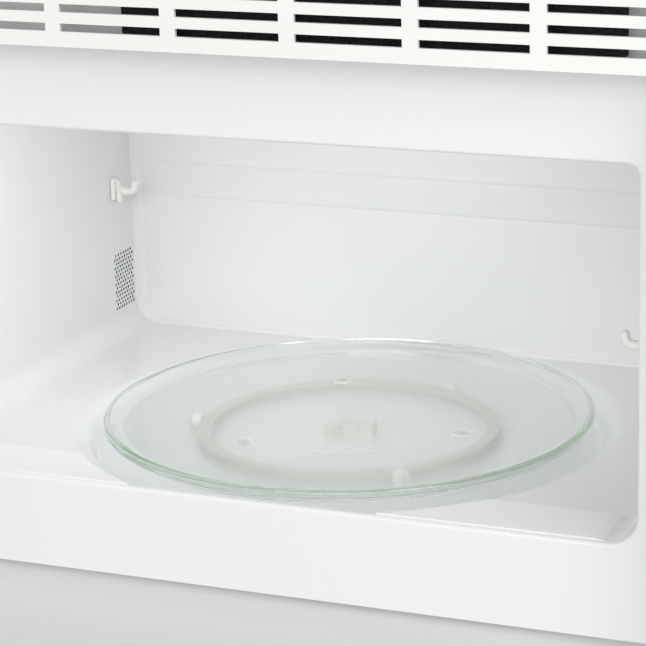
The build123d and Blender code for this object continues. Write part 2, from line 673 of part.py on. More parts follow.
def cavity_wrap():
    """One folded sheet: the left wall with its vent, the ceiling, and the right wall with the waveguide's window."""
    body = block(CAVITY_LEFT - LINER, CAVITY_RIGHT + LINER, LINER_FRONT_Y, LINER_BACK_Y, SEAM_Z, CEILING_Z + LINER)
    body = fillet(body.edges().filter_by(Axis.Y).group_by(Axis.Z)[-1], CEILING_BEND_R + LINER)
    inner = block(CAVITY_LEFT, CAVITY_RIGHT, LINER_FRONT_Y - 1, LINER_BACK_Y + 1, SEAM_Z - 1, CEILING_Z)
    inner = fillet(inner.edges().filter_by(Axis.Y).group_by(Axis.Z)[-1], CEILING_BEND_R)
    body -= inner
    window = (4 * LINER, WAVEGUIDE[1] - 4 * LINER, WAVEGUIDE[2] - 4 * LINER)
    body -= block_at((CAVITY_RIGHT, WAVEGUIDE_Y, WAVEGUIDE_Z), window)
    return body - vent_holes(SEAM_Z, CEILING_Z) - lamp_light_holes()


def lamp_light_holes():
    """Small holes that let the cavity lamp shine in through the ceiling."""
    lamp_x, lamp_y = cavity_lamp_place()
    across, along = CAVITY_LAMP_HOLES
    holes = []
    for i in range(across):
        for j in range(along):
            x = lamp_x + (i - (across - 1) / 2) * CAVITY_LAMP_PITCH
            y = lamp_y + (j - (along - 1) / 2) * CAVITY_LAMP_PITCH
            holes.append(rod((x, y, CEILING_Z - LINER), "Z", CAVITY_LAMP_HOLE_R, 4 * LINER))
    return holes


def back_pressing(grow, front):
    """Hollow of the pressed panel from the plane at front; with grow, the same shape one sheet larger."""
    back = PRESSED_Y + grow
    low = FLOOR_Z + BACK_PRESS_FOOT - grow
    crease = FLOOR_Z + BACK_CREASE_LOW
    rise = (BACK_CREASE_HIGH - BACK_CREASE_LOW) / BACK_PRESS
    profile = [(front, low), (back, low), (back, crease), (front, crease + rise * (back - front))]
    half = CAVITY_WIDTH / 2 - BACK_PRESS_EDGE + grow
    slope = prism_along_x(profile, CAVITY_X - half, CAVITY_X + half)
    centre = (CAVITY_X, (front + back) / 2, low + CAVITY_HEIGHT / 2)
    return slope & rounded_block(centre, (2 * half, back - front, CAVITY_HEIGHT), BACK_PRESS_CORNER_R + grow, Axis.Y)


def cavity_back():
    """Back wall: a flat rim and a pressed panel whose top slopes forward between two creases."""
    half = CAVITY_WIDTH / 2 + LINER
    chord = math.sqrt(RECESS_EDGE_R**2 - (LINER_BACK_Y - TURN_Y) ** 2) + LINER
    back = LINER_BACK_Y + LINER
    body = block(CAVITY_X - half, CAVITY_X + half, LINER_BACK_Y, back, FLOOR_Z - LINER, CEILING_Z + LINER)
    body += block(TURN_X - chord, TURN_X + chord, LINER_BACK_Y, back, RECESS_Z - LINER, FLOOR_Z)
    return body + back_pressing(LINER, LINER_BACK_Y) - back_pressing(0, LINER_BACK_Y - LINER)


def rack_support(wall_x, y, side):
    """Foot plate on the wall and an arm that ends in an upturned hook; side points into the cavity."""
    tip = SUPPORT_REACH - SUPPORT_THICK / 2
    line = FilletPolyline((0, SUPPORT_ARM), (tip, SUPPORT_ARM), (tip, SUPPORT_TIP), radius=SUPPORT_HOOK_R)
    arm = extrude(trace(line, SUPPORT_THICK), SUPPORT_WIDTH / 2, both=True)
    foot = Pos(SUPPORT_FOOT / 2, SUPPORT_HEIGHT / 2, 0) * Box(SUPPORT_FOOT, SUPPORT_HEIGHT, SUPPORT_WIDTH)
    piece = Rot(90, 0, 0) * (arm + foot)
    return Pos(wall_x, y, FLOOR_Z + SUPPORT_LOW) * (Rot(0, 0, 90 - 90 * side) * piece)


def rack_supports():
    rows = (TURN_Y + SUPPORT_REAR, TURN_Y - SUPPORT_FRONT)
    left = [rack_support(CAVITY_LEFT, y, 1) for y in rows]
    right = [rack_support(CAVITY_RIGHT, y, -1) for y in rows]
    return group(left + right)


def waveguide_cover():
    """The mica sheet over the waveguide's window, inside the cavity."""
    size = (MICA_SHEET, WAVEGUIDE[1] + 2 * MICA_LAP, WAVEGUIDE[2] + 2 * MICA_LAP)
    return block_at((CAVITY_RIGHT - MICA_SHEET / 2, WAVEGUIDE_Y, WAVEGUIDE_Z), size)


# ---------------------------------------------------------------- turntable and its drive


def turntable_glass():
    """Pressed glass plate with a raised rim, three bumps on top and three lugs below."""
    plate_top = GLASS_LOW + PLATE_THICKNESS
    rim_in = TURNTABLE_R - RIM_WIDTH
    slope_in = rim_in - RIM_SLOPE
    body = lathe(
        [
            (0, GLASS_LOW),
            (slope_in, GLASS_LOW),
            (TURNTABLE_R - RIM_WIDTH / 2, GLASS_LOW + PLATE_THICKNESS / 2),
            (TURNTABLE_R, RIM_Z - RIM_WIDTH / 2),
            (TURNTABLE_R, RIM_Z - RIM_WIDTH / 4),
            (TURNTABLE_R - RIM_WIDTH / 3, RIM_Z),
            (rim_in, RIM_Z),
            (slope_in, plate_top),
            (0, plate_top),
        ]
    )
    step = 360 / WHEEL_COUNT
    ball_r = (PLATE_BUMP_SIZE**2 + PLATE_BUMP_RISE**2) / (2 * PLATE_BUMP_RISE)
    above = rod((0, 0, plate_top - 1), "Z", TURNTABLE_R / 2 + PLATE_BUMP_SIZE * 2, PLATE_THICKNESS + 1)
    for index in range(WHEEL_COUNT):
        angle = math.radians(-5 + index * step)
        bump_x = PLATE_BUMP_R * math.cos(angle)
        bump_y = PLATE_BUMP_R * math.sin(angle)
        body += Pos(bump_x, bump_y, plate_top + PLATE_BUMP_RISE - ball_r) * Sphere(ball_r) & above
        lug_angle = math.radians(60 + index * step)
        lug = (LUG_REACH * math.cos(lug_angle), LUG_REACH * math.sin(lug_angle), hub_foot() + 2 * CLEAR)
        body += rod(lug, "Z", LUG_R, GLASS_LOW - lug[2])
    return Pos(TURN_X, TURN_Y, 0) * body


def hub_foot():
    """Underside of the drive hub, just clear of the recess floor."""
    return RECESS_Z + CLEAR


def drive_hub():
    """Three-lobed coupler that turns the glass."""
    top = GLASS_LOW - CLEAR
    height = top - hub_foot()
    body = rod((0, 0, hub_foot()), "Z", HUB_R, height)
    for index in range(3):
        lobe = block(0, HUB_LOBE_REACH, -HUB_LOBE_WIDTH / 2, HUB_LOBE_WIDTH / 2, hub_foot(), top)
        body += Rot(0, 0, index * 120) * lobe
    body -= rod((0, 0, hub_foot() - 1), "Z", MOTOR_SHAFT_R, height / 2 + 1)
    return Pos(TURN_X, TURN_Y, 0) * body


def motor_shaft():
    """Output shaft of the turntable motor, up into the hub."""
    top = hub_foot() + (GLASS_LOW - CLEAR - hub_foot()) / 2
    low = RECESS_Z - LINER - 0.6 * TURNTABLE_MOTOR_HEIGHT
    return rod((TURN_X, TURN_Y, low), "Z", MOTOR_SHAFT_R, top - low)


def turntable_motor():
    """Synchronous motor bolted under the recess, with two ears."""
    top = RECESS_Z - LINER
    low = top - TURNTABLE_MOTOR_HEIGHT
    can = rod((TURN_X, TURN_Y, low), "Z", TURNTABLE_MOTOR_R, TURNTABLE_MOTOR_HEIGHT)
    ears = block_at(
        (TURN_X, TURN_Y, top - 1),
        (2 * TURNTABLE_MOTOR_R + 18, 12, 2),
    )
    plug = block_at((TURN_X, TURN_Y + TURNTABLE_MOTOR_R, (top + low) / 2), (16, 14, 8))
    shaft_way = rod((TURN_X, TURN_Y, low + 3), "Z", MOTOR_SHAFT_R + RUNNING, TURNTABLE_MOTOR_HEIGHT)
    return can + ears + plug - shaft_way


def roller_ring():
    """Flat ring with a stub axle for each wheel."""
    half = RING_WIDTH / 2
    low = AXLE_Z - RING_THICKNESS / 2
    body = rod((0, 0, low), "Z", RING_R + half, RING_THICKNESS)
    body -= rod((0, 0, low - 1), "Z", RING_R - half, RING_THICKNESS + 2)
    start = RING_R + half - 1
    end = WHEEL_TRACK_R + WHEEL_WIDTH / 2 + CLEAR
    for index in range(WHEEL_COUNT):
        axle = rod((start, 0, AXLE_Z), "X", WHEEL_AXLE_R, end - start + 1)
        head = rod((end, 0, AXLE_Z), "X", WHEEL_AXLE_R + 0.8, 1.2)
        body += Rot(0, 0, wheel_angle(index)) * (axle + head)
    return Pos(TURN_X, TURN_Y, 0) * body


def wheel_angle(index):
    return -170 + index * 360 / WHEEL_COUNT


def roller_wheel(index):
    """One plastic wheel between the recess floor and the glass."""
    start = WHEEL_TRACK_R - WHEEL_WIDTH / 2
    tread = rod((start, 0, AXLE_Z), "X", WHEEL_R, WHEEL_WIDTH)
    tread = chamfer(tread.edges().filter_by(GeomType.CIRCLE), 0.8)
    bore = rod((start - 1, 0, AXLE_Z), "X", WHEEL_AXLE_R + RUNNING, WHEEL_WIDTH + 2)
    return Pos(TURN_X, TURN_Y, 0) * (Rot(0, 0, wheel_angle(index)) * (tread - bore))


# ---------------------------------------------------------------- door


def lens_size(grow):
    return (WINDOW_WIDTH + 2 * LENS_LEDGE + grow, WINDOW_HEIGHT + 2 * LENS_LEDGE + grow)


def door_frame():
    """White outer frame: face, side walls, window, handle holes, hinge blocks and latch guides."""
    body = shell_open_back(DOOR_LEFT, DOOR_RIGHT, DOOR_FRONT, DOOR_BACK, DOOR_LOW, DOOR_HIGH, DOOR_FACE, DOOR_WALL)
    body = fillet(body.edges().filter_by(Axis.Z).sort_by(Axis.Y)[:2], FRONT_EDGE_R)
    window = (WINDOW_WIDTH, 4 * DOOR_FACE, WINDOW_HEIGHT)
    body -= rounded_block((CAVITY_X, DOOR_FRONT, WINDOW_Z), window, WINDOW_CORNER_R, Axis.Y)
    seat_x, seat_z = lens_size(CLEAR)
    seat = (seat_x, 2 * LENS_THICKNESS, seat_z)
    body -= rounded_block((CAVITY_X, DOOR_FRONT, WINDOW_Z), seat, WINDOW_CORNER_R + CLEAR / 2, Axis.Y)
    inner_face = DOOR_FRONT + DOOR_FACE
    hinge_back = choke_front() - CLEAR
    for low, high in ((DOOR_LOW, DOOR_LOW + HINGE_BLOCK), (DOOR_HIGH - HINGE_BLOCK, DOOR_HIGH)):
        body += block(DOOR_LEFT + DOOR_WALL, HINGE_X + 2 * HINGE_IN, inner_face, hinge_back, low, high)
    for low, high in ((DOOR_LOW - 1, DOOR_LOW + HINGE_PIN_DEPTH), (DOOR_HIGH - HINGE_PIN_DEPTH, DOOR_HIGH + 1)):
        body -= rod((HINGE_X, HINGE_Y, low), "Z", HINGE_PIN_R + RUNNING, high - low)
    for z in handle_post_heights():
        body -= rod((handle_x(), DOOR_FRONT - 1, z), "Y", HANDLE_SCREW_R, DOOR_FACE + 2)
    x0, x1 = LATCH_X - LATCH_BAR_WIDTH, LATCH_X + LATCH_BAR_WIDTH
    bar_front = latch_bar_back() - LATCH_BAR_DEPTH
    for z in latch_hook_heights():
        body += block(x0, x1, inner_face, bar_front - CLEAR, z - LATCH_HOOK_HEIGHT, z + LATCH_HOOK_HEIGHT)
    ledge = latch_bar_high() + SPRING_LENGTH
    return body + block(x0, x1, inner_face, latch_bar_back(), ledge, ledge + DOOR_WALL)


def door_glass():
    """Dark outer pane, flush with the door's face."""
    width, height = lens_size(0)
    centre = (CAVITY_X, DOOR_FRONT + LENS_THICKNESS / 2, WINDOW_Z)
    return rounded_block(centre, (width, LENS_THICKNESS, height), WINDOW_CORNER_R, Axis.Y)


def choke_front():
    """Front face of the steel door panel."""
    return DOOR_BACK - CHOKE_COVER_THICKNESS - CHOKE_SHEET


def choke_outline():
    """Outer edges of the steel panel inside the door frame's walls."""
    return (
        DOOR_LEFT + DOOR_WALL + CLEAR,
        DOOR_RIGHT - DOOR_WALL - CLEAR,
        DOOR_LOW + DOOR_WALL + CLEAR,
        DOOR_HIGH - DOOR_WALL - CLEAR,
    )


def choke_panel():
    """Steel inner panel with tabs to the door's face; its window is perforated too finely for the solid."""
    left, right, low, high = choke_outline()
    front = choke_front()
    body = block(left, right, front, front + CHOKE_SHEET, low, high)
    face_back = DOOR_FRONT + DOOR_FACE
    for z0, z1 in ((low, low + CHOKE_SHEET), (high - CHOKE_SHEET, high)):
        body += block(left + CHOKE_TAB_INSET, right - CHOKE_TAB_INSET, face_back, front, z0, z1)
    for z in latch_hook_heights():
        body -= latch_slot(z, front - 1, front + CHOKE_SHEET + 1, PANEL_SLOT_GAP)
    return body


def choke_cover():
    """Plastic ring over the steel panel's edge, facing the front frame."""
    left, right, low, high = choke_outline()
    back = DOOR_BACK
    front = back - CHOKE_COVER_THICKNESS
    body = block(left, right, front, back, low, high)
    body = chamfer(body.faces().sort_by(Axis.Y)[-1].edges(), CHOKE_SHEET)
    opening = (WINDOW_WIDTH, 4 * CHOKE_COVER_THICKNESS, WINDOW_HEIGHT)
    body -= rounded_block((CAVITY_X, back, WINDOW_Z), opening, INNER_CORNER_R, Axis.Y)
    for z in latch_hook_heights():
        body -= latch_slot(z, front - 1, back + 1, PANEL_SLOT_GAP)
    return body


def inner_window():
    """Clear pane on the perforated panel, inside the plastic ring."""
    y = choke_front() + CHOKE_SHEET + INNER_WINDOW_THICKNESS / 2
    size = (WINDOW_WIDTH - 2 * LOOSE, INNER_WINDOW_THICKNESS, WINDOW_HEIGHT - 2 * LOOSE)
    return rounded_block((CAVITY_X, y, WINDOW_Z), size, INNER_CORNER_R - LOOSE, Axis.Y)


def handle_x():
    return DOOR_RIGHT - HANDLE_FROM_EDGE


def handle_post_heights():
    reach = HANDLE_LENGTH / 2 - HANDLE_WIDTH
    return [DOOR_Z - reach, DOOR_Z + reach]


def door_handle():
    """Upright bar handle on two posts, with a screw hole up each post."""
    back = DOOR_FRONT - HANDLE_STANDOFF
    bar = Box(HANDLE_WIDTH, HANDLE_THICK, HANDLE_LENGTH)
    bar = fillet(bar.edges().filter_by(Axis.Z), 6.5)
    bar = fillet(bar.faces().sort_by(Axis.Z)[-1].edges(), 3)
    bar = fillet(bar.faces().sort_by(Axis.Z)[0].edges(), 3)
    body = Pos(handle_x(), back - HANDLE_THICK / 2, DOOR_Z) * bar
    for z in handle_post_heights():
        body += rod((handle_x(), DOOR_FRONT, z), "Y", HANDLE_POST_R, -HANDLE_STANDOFF - HANDLE_THICK / 3)
        body -= rod((handle_x(), DOOR_FRONT + 1, z), "Y", HANDLE_SCREW_R, -HANDLE_STANDOFF)
    return body


def handle_screws():
    """Two screws from inside the door up into the handle's posts."""
    pieces = []
    seat = DOOR_FRONT + DOOR_FACE
    for z in handle_post_heights():
        head = rod((handle_x(), seat, z), "Y", 2 * HANDLE_SCREW_R, 2)
        shank = rod((handle_x(), seat, z), "Y", HANDLE_SCREW_R, -HANDLE_STANDOFF + DOOR_FACE)
        pieces.append(head + shank)
    return group(pieces)


def latch_bar_back():
    """Back of the latch bar, just clear of the steel panel."""
    return choke_front() - CLEAR


def latch_bar_high():
    """Top of the latch bar."""
    return latch_hook_heights()[1] + LATCH_HOOK_HEIGHT / 2


def latch_hooks():
    """Sliding latch bar with two hooks that reach through the door's back; their barbs point down."""
    back = latch_bar_back()
    half = LATCH_HOOK_HEIGHT / 2
    low = latch_hook_heights()[0] - half
    half_bar = LATCH_BAR_WIDTH / 2
    body = block(LATCH_X - half_bar, LATCH_X + half_bar, back - LATCH_BAR_DEPTH, back, low, latch_bar_high())
    tip = DOOR_BACK + LATCH_HOOK_REACH
    for z in latch_hook_heights():
        outline = [
            (back - 1, z + half),
            (tip - LATCH_BARB, z + half),
            (tip, z + LATCH_BARB / 2),
            (tip, z - half + LATCH_BARB / 2),
            (tip - LATCH_BARB / 2, z - half),
            (tip - LATCH_BARB, z - half),
            (tip - LATCH_BARB, z - half + LATCH_BARB / 2),
            (back - 1, z - half + LATCH_BARB / 2),
        ]
        body += prism_along_x(outline, LATCH_X - LATCH_HOOK_THICK / 2, LATCH_X + LATCH_HOOK_THICK / 2)
    return body


def biarc(start, start_way, end, end_way):
    """Two arcs that join start to end and follow both directions."""
    chord = end - start
    ways = start_way + end_way
    turn = 1 - start_way.dot(end_way)
    along = chord.dot(ways)
    reach = (-along + math.sqrt(along * along + 2 * turn * chord.dot(chord))) / (2 * turn)
    near = start + start_way * reach
    far = end - end_way * reach
    middle = (near + far) / 2
    return [TangentArc(start, middle, tangent=start_way), TangentArc(middle, end, tangent=far - near)]


def spring_line(length):
    """Centre line of the spring's wire: a helix in half turns, each a biarc."""
    radius = SPRING_R - SPRING_WIRE_R
    rise = length / (math.tau * SPRING_TURNS)

    def place(angle):
        return Vector(radius * math.cos(angle), radius * math.sin(angle), rise * angle)

    def way(angle):
        return Vector(-radius * math.sin(angle), radius * math.cos(angle), rise).normalized()

    arcs = []
    for index in range(2 * SPRING_TURNS):
        first, last = index * math.pi, (index + 1) * math.pi
        arcs += biarc(place(first), way(first), place(last), way(last))
    return Wire(arcs)


def latch_spring():
    """Compression spring between the top of the latch bar and the ledge in the door frame."""
    length = SPRING_LENGTH - 2 * SPRING_WIRE_R - CLEAR
    line = spring_line(length)
    print("least gap between the spring's turns:", round(length / SPRING_TURNS - 2 * SPRING_WIRE_R, 2))
    wire = sweep(Plane(origin=line @ 0, z_dir=line % 0) * Circle(SPRING_WIRE_R), path=line)
    y = latch_bar_back() - LATCH_BAR_DEPTH / 2
    return Pos(LATCH_X, y, latch_bar_high() + SPRING_WIRE_R + CLEAR / 2) * wire


def hinge_leg_heights():
    """Middle height of the lower and the upper hinge arm."""
    return [DOOR_LOW - CLEAR - HINGE_LEG / 2, DOOR_HIGH + CLEAR + HINGE_LEG / 2]


def hinge_bracket(z, reach, pin):
    """Steel arm through the front frame with an upright leg behind it and a riveted pin.

    reach is the leg's height above the arm; pin is the pin's length, negative where it points down.
    """
    half = HINGE_ARM_WIDTH / 2
    low = z - HINGE_LEG / 2
    back = FRAME_BACK_Y + HINGE_LEG
    body = block(HINGE_X - HINGE_IN, HINGE_X + half, HINGE_Y - HINGE_IN, FRAME_BACK_Y, low, low + HINGE_LEG)
    body += block(LEFT_X + CABINET_SHEET, HINGE_X + half, FRAME_BACK_Y, back, low, low + reach)
    seat = low if pin > 0 else low + HINGE_LEG
    return body + rod((HINGE_X, HINGE_Y, seat), "Z", HINGE_PIN_R, pin)


def hinge_brackets():
    """The lower and the upper bracket; their pins stand into the door frame's bores."""
    low_z, high_z = hinge_leg_heights()
    pin = HINGE_LEG + HINGE_PIN_DEPTH
    return group([hinge_bracket(low_z, HINGE_LEG_REACH, pin), hinge_bracket(high_z, HINGE_LEG_REACH, -pin)])


# ---------------------------------------------------------------- interlock


def switch_face_y():
    """Front of the switches, on the back of the bracket."""
    return DOOR_BACK + LATCH_HOOK_REACH + HOOK_END_GAP + BRACKET_WALL


def interlock_bracket():
    """Plastic bracket behind the front frame that receives both hooks and carries the switches."""
    side = LATCH_X + LATCH_HOOK_THICK / 2 + HOOK_SIDE_GAP
    left = LATCH_X - SWITCH_SIZE[0] / 2
    right = side + BRACKET_WALL
    back = switch_face_y()
    low = latch_hook_heights()[0] - BRACKET_LAP
    high = latch_hook_heights()[1] + BRACKET_LAP
    body = block(side, right, FRAME_BACK_Y, back, low, high)
    body += block(left, right, back - BRACKET_WALL, back, low, high)
    for z in latch_hook_heights():
        catch = z - LATCH_HOOK_HEIGHT / 2 - HOOK_DROP_GAP
        body += block(left, right, FRAME_BACK_Y, back, catch - BRACKET_WALL, catch)
        body -= rod((LATCH_X, back - BRACKET_WALL - 1, z), "Y", PLUNGER_R + LOOSE, BRACKET_WALL + 2)
    return body


def interlock_switches():
    """One snap switch behind each hook, with a hole for its plunger and three terminals."""
    pieces = []
    width, depth, height = SWITCH_SIZE
    for z in latch_hook_heights():
        face = switch_face_y()
        body = block_at((LATCH_X, face + depth / 2, z), SWITCH_SIZE)
        for step in (-1, 0, 1):
            tag = (LATCH_X, face + depth + TERMINAL_SIZE[1] / 2, z + step * TERMINAL_PITCH)
            body += block_at(tag, TERMINAL_SIZE)
        end = plunger_tip() + PLUNGER_LENGTH + PLUNGER_TRAVEL + CLEAR
        body -= rod((LATCH_X, face - 1, z), "Y", PLUNGER_R + RUNNING, end - face + 1)
        pieces.append(body)
    return group(pieces)


def plunger_tip():
    """Resting end of the plungers, just behind the shut door's hooks."""
    return DOOR_BACK + LATCH_HOOK_REACH + CLEAR


def switch_plunger(index):
    """The small button of one switch; it travels straight back."""
    return rod((LATCH_X, plunger_tip(), latch_hook_heights()[index]), "Y", PLUNGER_R, PLUNGER_LENGTH)


# ---------------------------------------------------------------- control panel


def display_z():
    return DOOR_HIGH - DISPLAY_DROP - DISPLAY_HEIGHT / 2


def board_z():
    return display_z() - BOARD_DROP


def panel_shell():
    """White control panel housing with the display window and bosses for the board."""
    body = shell_open_back(PANEL_LEFT, RIGHT_X, DOOR_FRONT, FRONT_Y, DOOR_LOW, DOOR_HIGH, DOOR_FACE, PANEL_WALL)
    body = fillet(body.edges().filter_by(Axis.Z).sort_by(Axis.Y)[:2], FRONT_EDGE_R)
    seat = (KEYPAD_WIDTH + CLEAR, 2 * KEYPAD_SHEET, KEYPAD_HEIGHT + CLEAR)
    body -= rounded_block((PANEL_X, DOOR_FRONT, DOOR_Z), seat, 8, Axis.Y)
    window = (DISPLAY_WIDTH, 4 * DOOR_FACE, DISPLAY_HEIGHT)
    body -= block_at((PANEL_X, DOOR_FRONT, display_z()), window)
    inner = DOOR_FRONT + DOOR_FACE
    for x, z in board_boss_places():
        body += rod((x, inner, z), "Y", BOSS_R, BOARD_STANDOFF)
    return body


def board_boss_places():
    half_x = KEYPAD_WIDTH / 2 - BOSS_INSET
    half_z = DISPLAY_HEIGHT + BOARD_MARGIN - BOSS_INSET
    return [(PANEL_X + i * half_x, board_z() + j * half_z) for i in (-1, 1) for j in (-1, 1)]


def keypad():
    """Membrane keypad sheet in its shallow seat, with an opening for the display."""
    size = (KEYPAD_WIDTH, KEYPAD_SHEET, KEYPAD_HEIGHT)
    body = rounded_block((PANEL_X, DOOR_FRONT + KEYPAD_SHEET / 2, DOOR_Z), size, 7.8, Axis.Y)
    hole = (DISPLAY_WIDTH, 4 * KEYPAD_SHEET, DISPLAY_HEIGHT)
    return body - block_at((PANEL_X, DOOR_FRONT, display_z()), hole)


def display_lens():
    """Smoked lens that fills the display window, flush with the keypad."""
    size = (DISPLAY_WIDTH - CLEAR / 2, DOOR_FACE, DISPLAY_HEIGHT - CLEAR / 2)
    return block_at((PANEL_X, DOOR_FRONT + DOOR_FACE / 2, display_z()), size)


def control_board():
    """Circuit board with the display module, two relays and a connector."""
    front = DOOR_FRONT + DOOR_FACE + BOARD_STANDOFF
    size = (KEYPAD_WIDTH, BOARD_THICKNESS, 2 * (DISPLAY_HEIGHT + BOARD_MARGIN))
    body = block_at((PANEL_X, front + BOARD_THICKNESS / 2, board_z()), size)
    lens_back = DOOR_FRONT + DOOR_FACE + CLEAR
    display = (DISPLAY_WIDTH - 12, front - lens_back, DISPLAY_HEIGHT - 6)
    body += block_at((PANEL_X, (front + lens_back) / 2, display_z()), display)
    back = front + BOARD_THICKNESS
    room = FRONT_Y - back
    for share in RELAY_PLACES:
        relay = (RELAY_WIDTH, room * 0.8, RELAY_HEIGHT)
        body += block_at((PANEL_X + share * KEYPAD_WIDTH, back + relay[1] / 2, board_z()), relay)
    connector = (CONNECTOR_WIDTH, room * 0.5, CONNECTOR_HEIGHT)
    x = PANEL_X + CONNECTOR_PLACE * KEYPAD_WIDTH
    return body + block_at((x, back + connector[1] / 2, board_z()), connector)


# ---------------------------------------------------------------- vent grille and filters


def vent_grille():
    """Louvred front strip along the top, flush with the door's face."""
    body = shell_open_back(LEFT_X, RIGHT_X, DOOR_FRONT, FRONT_Y, GRILLE_LOW, TOP_Z, DOOR_FACE / 2, GRILLE_WALL)
    body = fillet(body.edges().filter_by(Axis.Z).sort_by(Axis.Y)[:2], FRONT_EDGE_R)
    span = (CABINET_WIDTH - 6 * SLOT_RIB) / SLOT_COLUMNS
    pitch_z = (TOP_Z - GRILLE_LOW - 2 * GRILLE_WALL) / (SLOT_ROWS + 0.6)
    slots = []
    for column in range(SLOT_COLUMNS):
        x = (column - (SLOT_COLUMNS - 1) / 2) * span
        for row in range(SLOT_ROWS):
            z = GRILLE_Z + (row - (SLOT_ROWS - 1) / 2) * pitch_z
            slots.append(block_at((x, DOOR_FRONT, z), (span - SLOT_RIB, 4 * DOOR_FACE, SLOT_HEIGHT)))
    return body - slots


def charcoal_filter():
    """Odour filter pad over the vent opening of the front frame."""
    height = VENT_OPENING_HEIGHT + 2 * CHARCOAL_LAP
    width = VENT_OPENING_WIDTH + 2 * CHARCOAL_LAP
    return block_at((0, FRONT_Y - CHARCOAL_THICKNESS / 2, GRILLE_Z), (width, CHARCOAL_THICKNESS, height))


def grease_filter(index):
    """Framed aluminium mesh filter with a finger tab in its opening."""
    x, y = filter_centres()[index]
    low = DECK_Z + CLEAR
    frame = block_at((x, y, low + FILTER_THICKNESS / 2), (FILTER_WIDTH, FILTER_DEPTH, FILTER_THICKNESS))
    rim = 7.0
    dip = (FILTER_WIDTH - 2 * rim, FILTER_DEPTH - 2 * rim, 2)
    frame -= block_at((x, y, low), dip)
    frame -= block_at((x, y, low + FILTER_THICKNESS), dip)
    tab_x = x - FILTER_WIDTH / 2 + FILTER_LAP + FILTER_SLIDE + FILTER_TAB
    tab = block_at((tab_x, y, low + 0.4), (2, 2 * FILTER_TAB, 2.6))
    return frame + tab


# ---------------------------------------------------------------- cooktop lamp


def lamp_axis():
    """Hinge line of the lamp cover: (y, z), just below the base plate."""
    y = LAMP_Y + LAMP_OPENING_DEPTH / 2 + LAMP_COVER_LAP
    return y, BASE_Z - CLEAR - LAMP_BARREL_R


def lamp_ear_places():
    half = LAMP_OPENING_WIDTH / 2 + LAMP_COVER_LAP
    return [-half - 3 - CLEAR, half + CLEAR]


def lamp_ear(x0):
    """One of the two ears under the base plate that hold the cover's pins."""
    y, z = lamp_axis()
    ear = block(x0, x0 + 3, y - 3, y + 3, z - 2, BASE_Z)
    return ear - rod((x0 - 1, y, z), "X", LAMP_PIN_R + RUNNING, 5)


def lamp_cover():
    """Frosted lens plate with a barrel along its back edge and a pin at each end."""
    y, z = lamp_axis()
    half = LAMP_OPENING_WIDTH / 2 + LAMP_COVER_LAP
    low = z - LAMP_BARREL_R
    front = LAMP_Y - LAMP_OPENING_DEPTH / 2 - LAMP_COVER_LAP
    body = block(-half, half, front, y, low, low + LAMP_COVER_THICKNESS)
    body += rod((-half, y, z), "X", LAMP_BARREL_R, 2 * half)
    body += rod((-half - 2.5, y, z), "X", LAMP_PIN_R, 2 * half + 5)
    return body


def lamp_housing():
    """White box above the lamp opening."""
    wall = 1.0
    half_x = LAMP_OPENING_WIDTH / 2 + wall
    half_y = LAMP_OPENING_DEPTH / 2 + wall
    body = block(-half_x, half_x, LAMP_Y - half_y, LAMP_Y + half_y, DECK_Z, DECK_Z + LAMP_BOX_HEIGHT)
    hollow = block_at(
        (0, LAMP_Y, DECK_Z + (LAMP_BOX_HEIGHT - wall) / 2 - 1),
        (LAMP_OPENING_WIDTH, LAMP_OPENING_DEPTH, LAMP_BOX_HEIGHT - wall + 2),
    )
    return body - hollow


def cooktop_lamps():
    """Two bulbs lying along the box, each on a holder against its end wall."""
    pieces = []
    z = DECK_Z + LAMP_BOX_HEIGHT / 2
    for side in (-1, 1):
        wall_x = side * LAMP_OPENING_WIDTH / 2
        holder = rod((wall_x, LAMP_Y, z), "X", BULB_R * 0.8, -side * 12)
        bulb = rod((wall_x - side * 12, LAMP_Y, z), "X", BULB_R, -side * BULB_LENGTH)
        bulb = fillet(bulb.edges().filter_by(GeomType.CIRCLE), BULB_R * 0.45)
        pieces.append(holder + bulb)
    return group(pieces)


# ---------------------------------------------------------------- exhaust and blower


def exhaust_adapter():
    """Rectangular collar on a flange over the exhaust opening."""
    low = TOP_Z
    body = block_at((0, DUCT_Y, low + DUCT_HEIGHT / 2), (DUCT_WIDTH, DUCT_DEPTH, DUCT_HEIGHT))
    flange = (DUCT_WIDTH + 2 * DUCT_FLANGE, DUCT_DEPTH + 2 * DUCT_FLANGE, DUCT_SHEET)
    body += block_at((0, DUCT_Y, low + DUCT_SHEET / 2), flange)
    body -= duct_hole(low - 1, low + DUCT_HEIGHT + 1)
    y, z = damper_axis()
    for x in (-DUCT_WIDTH / 2, DUCT_WIDTH / 2):
        body -= rod((x - 2 * DUCT_SHEET, y, z), "X", DAMPER_PIN_R + RUNNING, 4 * DUCT_SHEET)
    return body


def damper_axis():
    """Hinge line of the back-draft flap: (y, z), near the collar's back wall."""
    return DUCT_Y + DUCT_DEPTH / 2 - DUCT_SHEET - 3.0, TOP_Z + DAMPER_LIFT


def damper_flap():
    """Light flap across the collar, on two pins."""
    y, z = damper_axis()
    half = DUCT_WIDTH / 2 - DUCT_SHEET - LOOSE
    front = DUCT_Y - DUCT_DEPTH / 2 + DUCT_SHEET + LOOSE
    body = block(-half, half, front, y, z - DAMPER_SHEET / 2, z + DAMPER_SHEET / 2)
    pin = DUCT_WIDTH / 2 - CLEAR
    return body + rod((-pin, y, z), "X", DAMPER_PIN_R, 2 * pin)


def blower_wheel_starts():
    """Inner end of the left and right wheel: x and direction."""
    start = BLOWER_MOTOR_LENGTH / 2 + 2 * BLOWER_SHAFT_R + 2 * BLOWER_HOUSING_SHEET
    return [(-start, -1), (start, 1)]


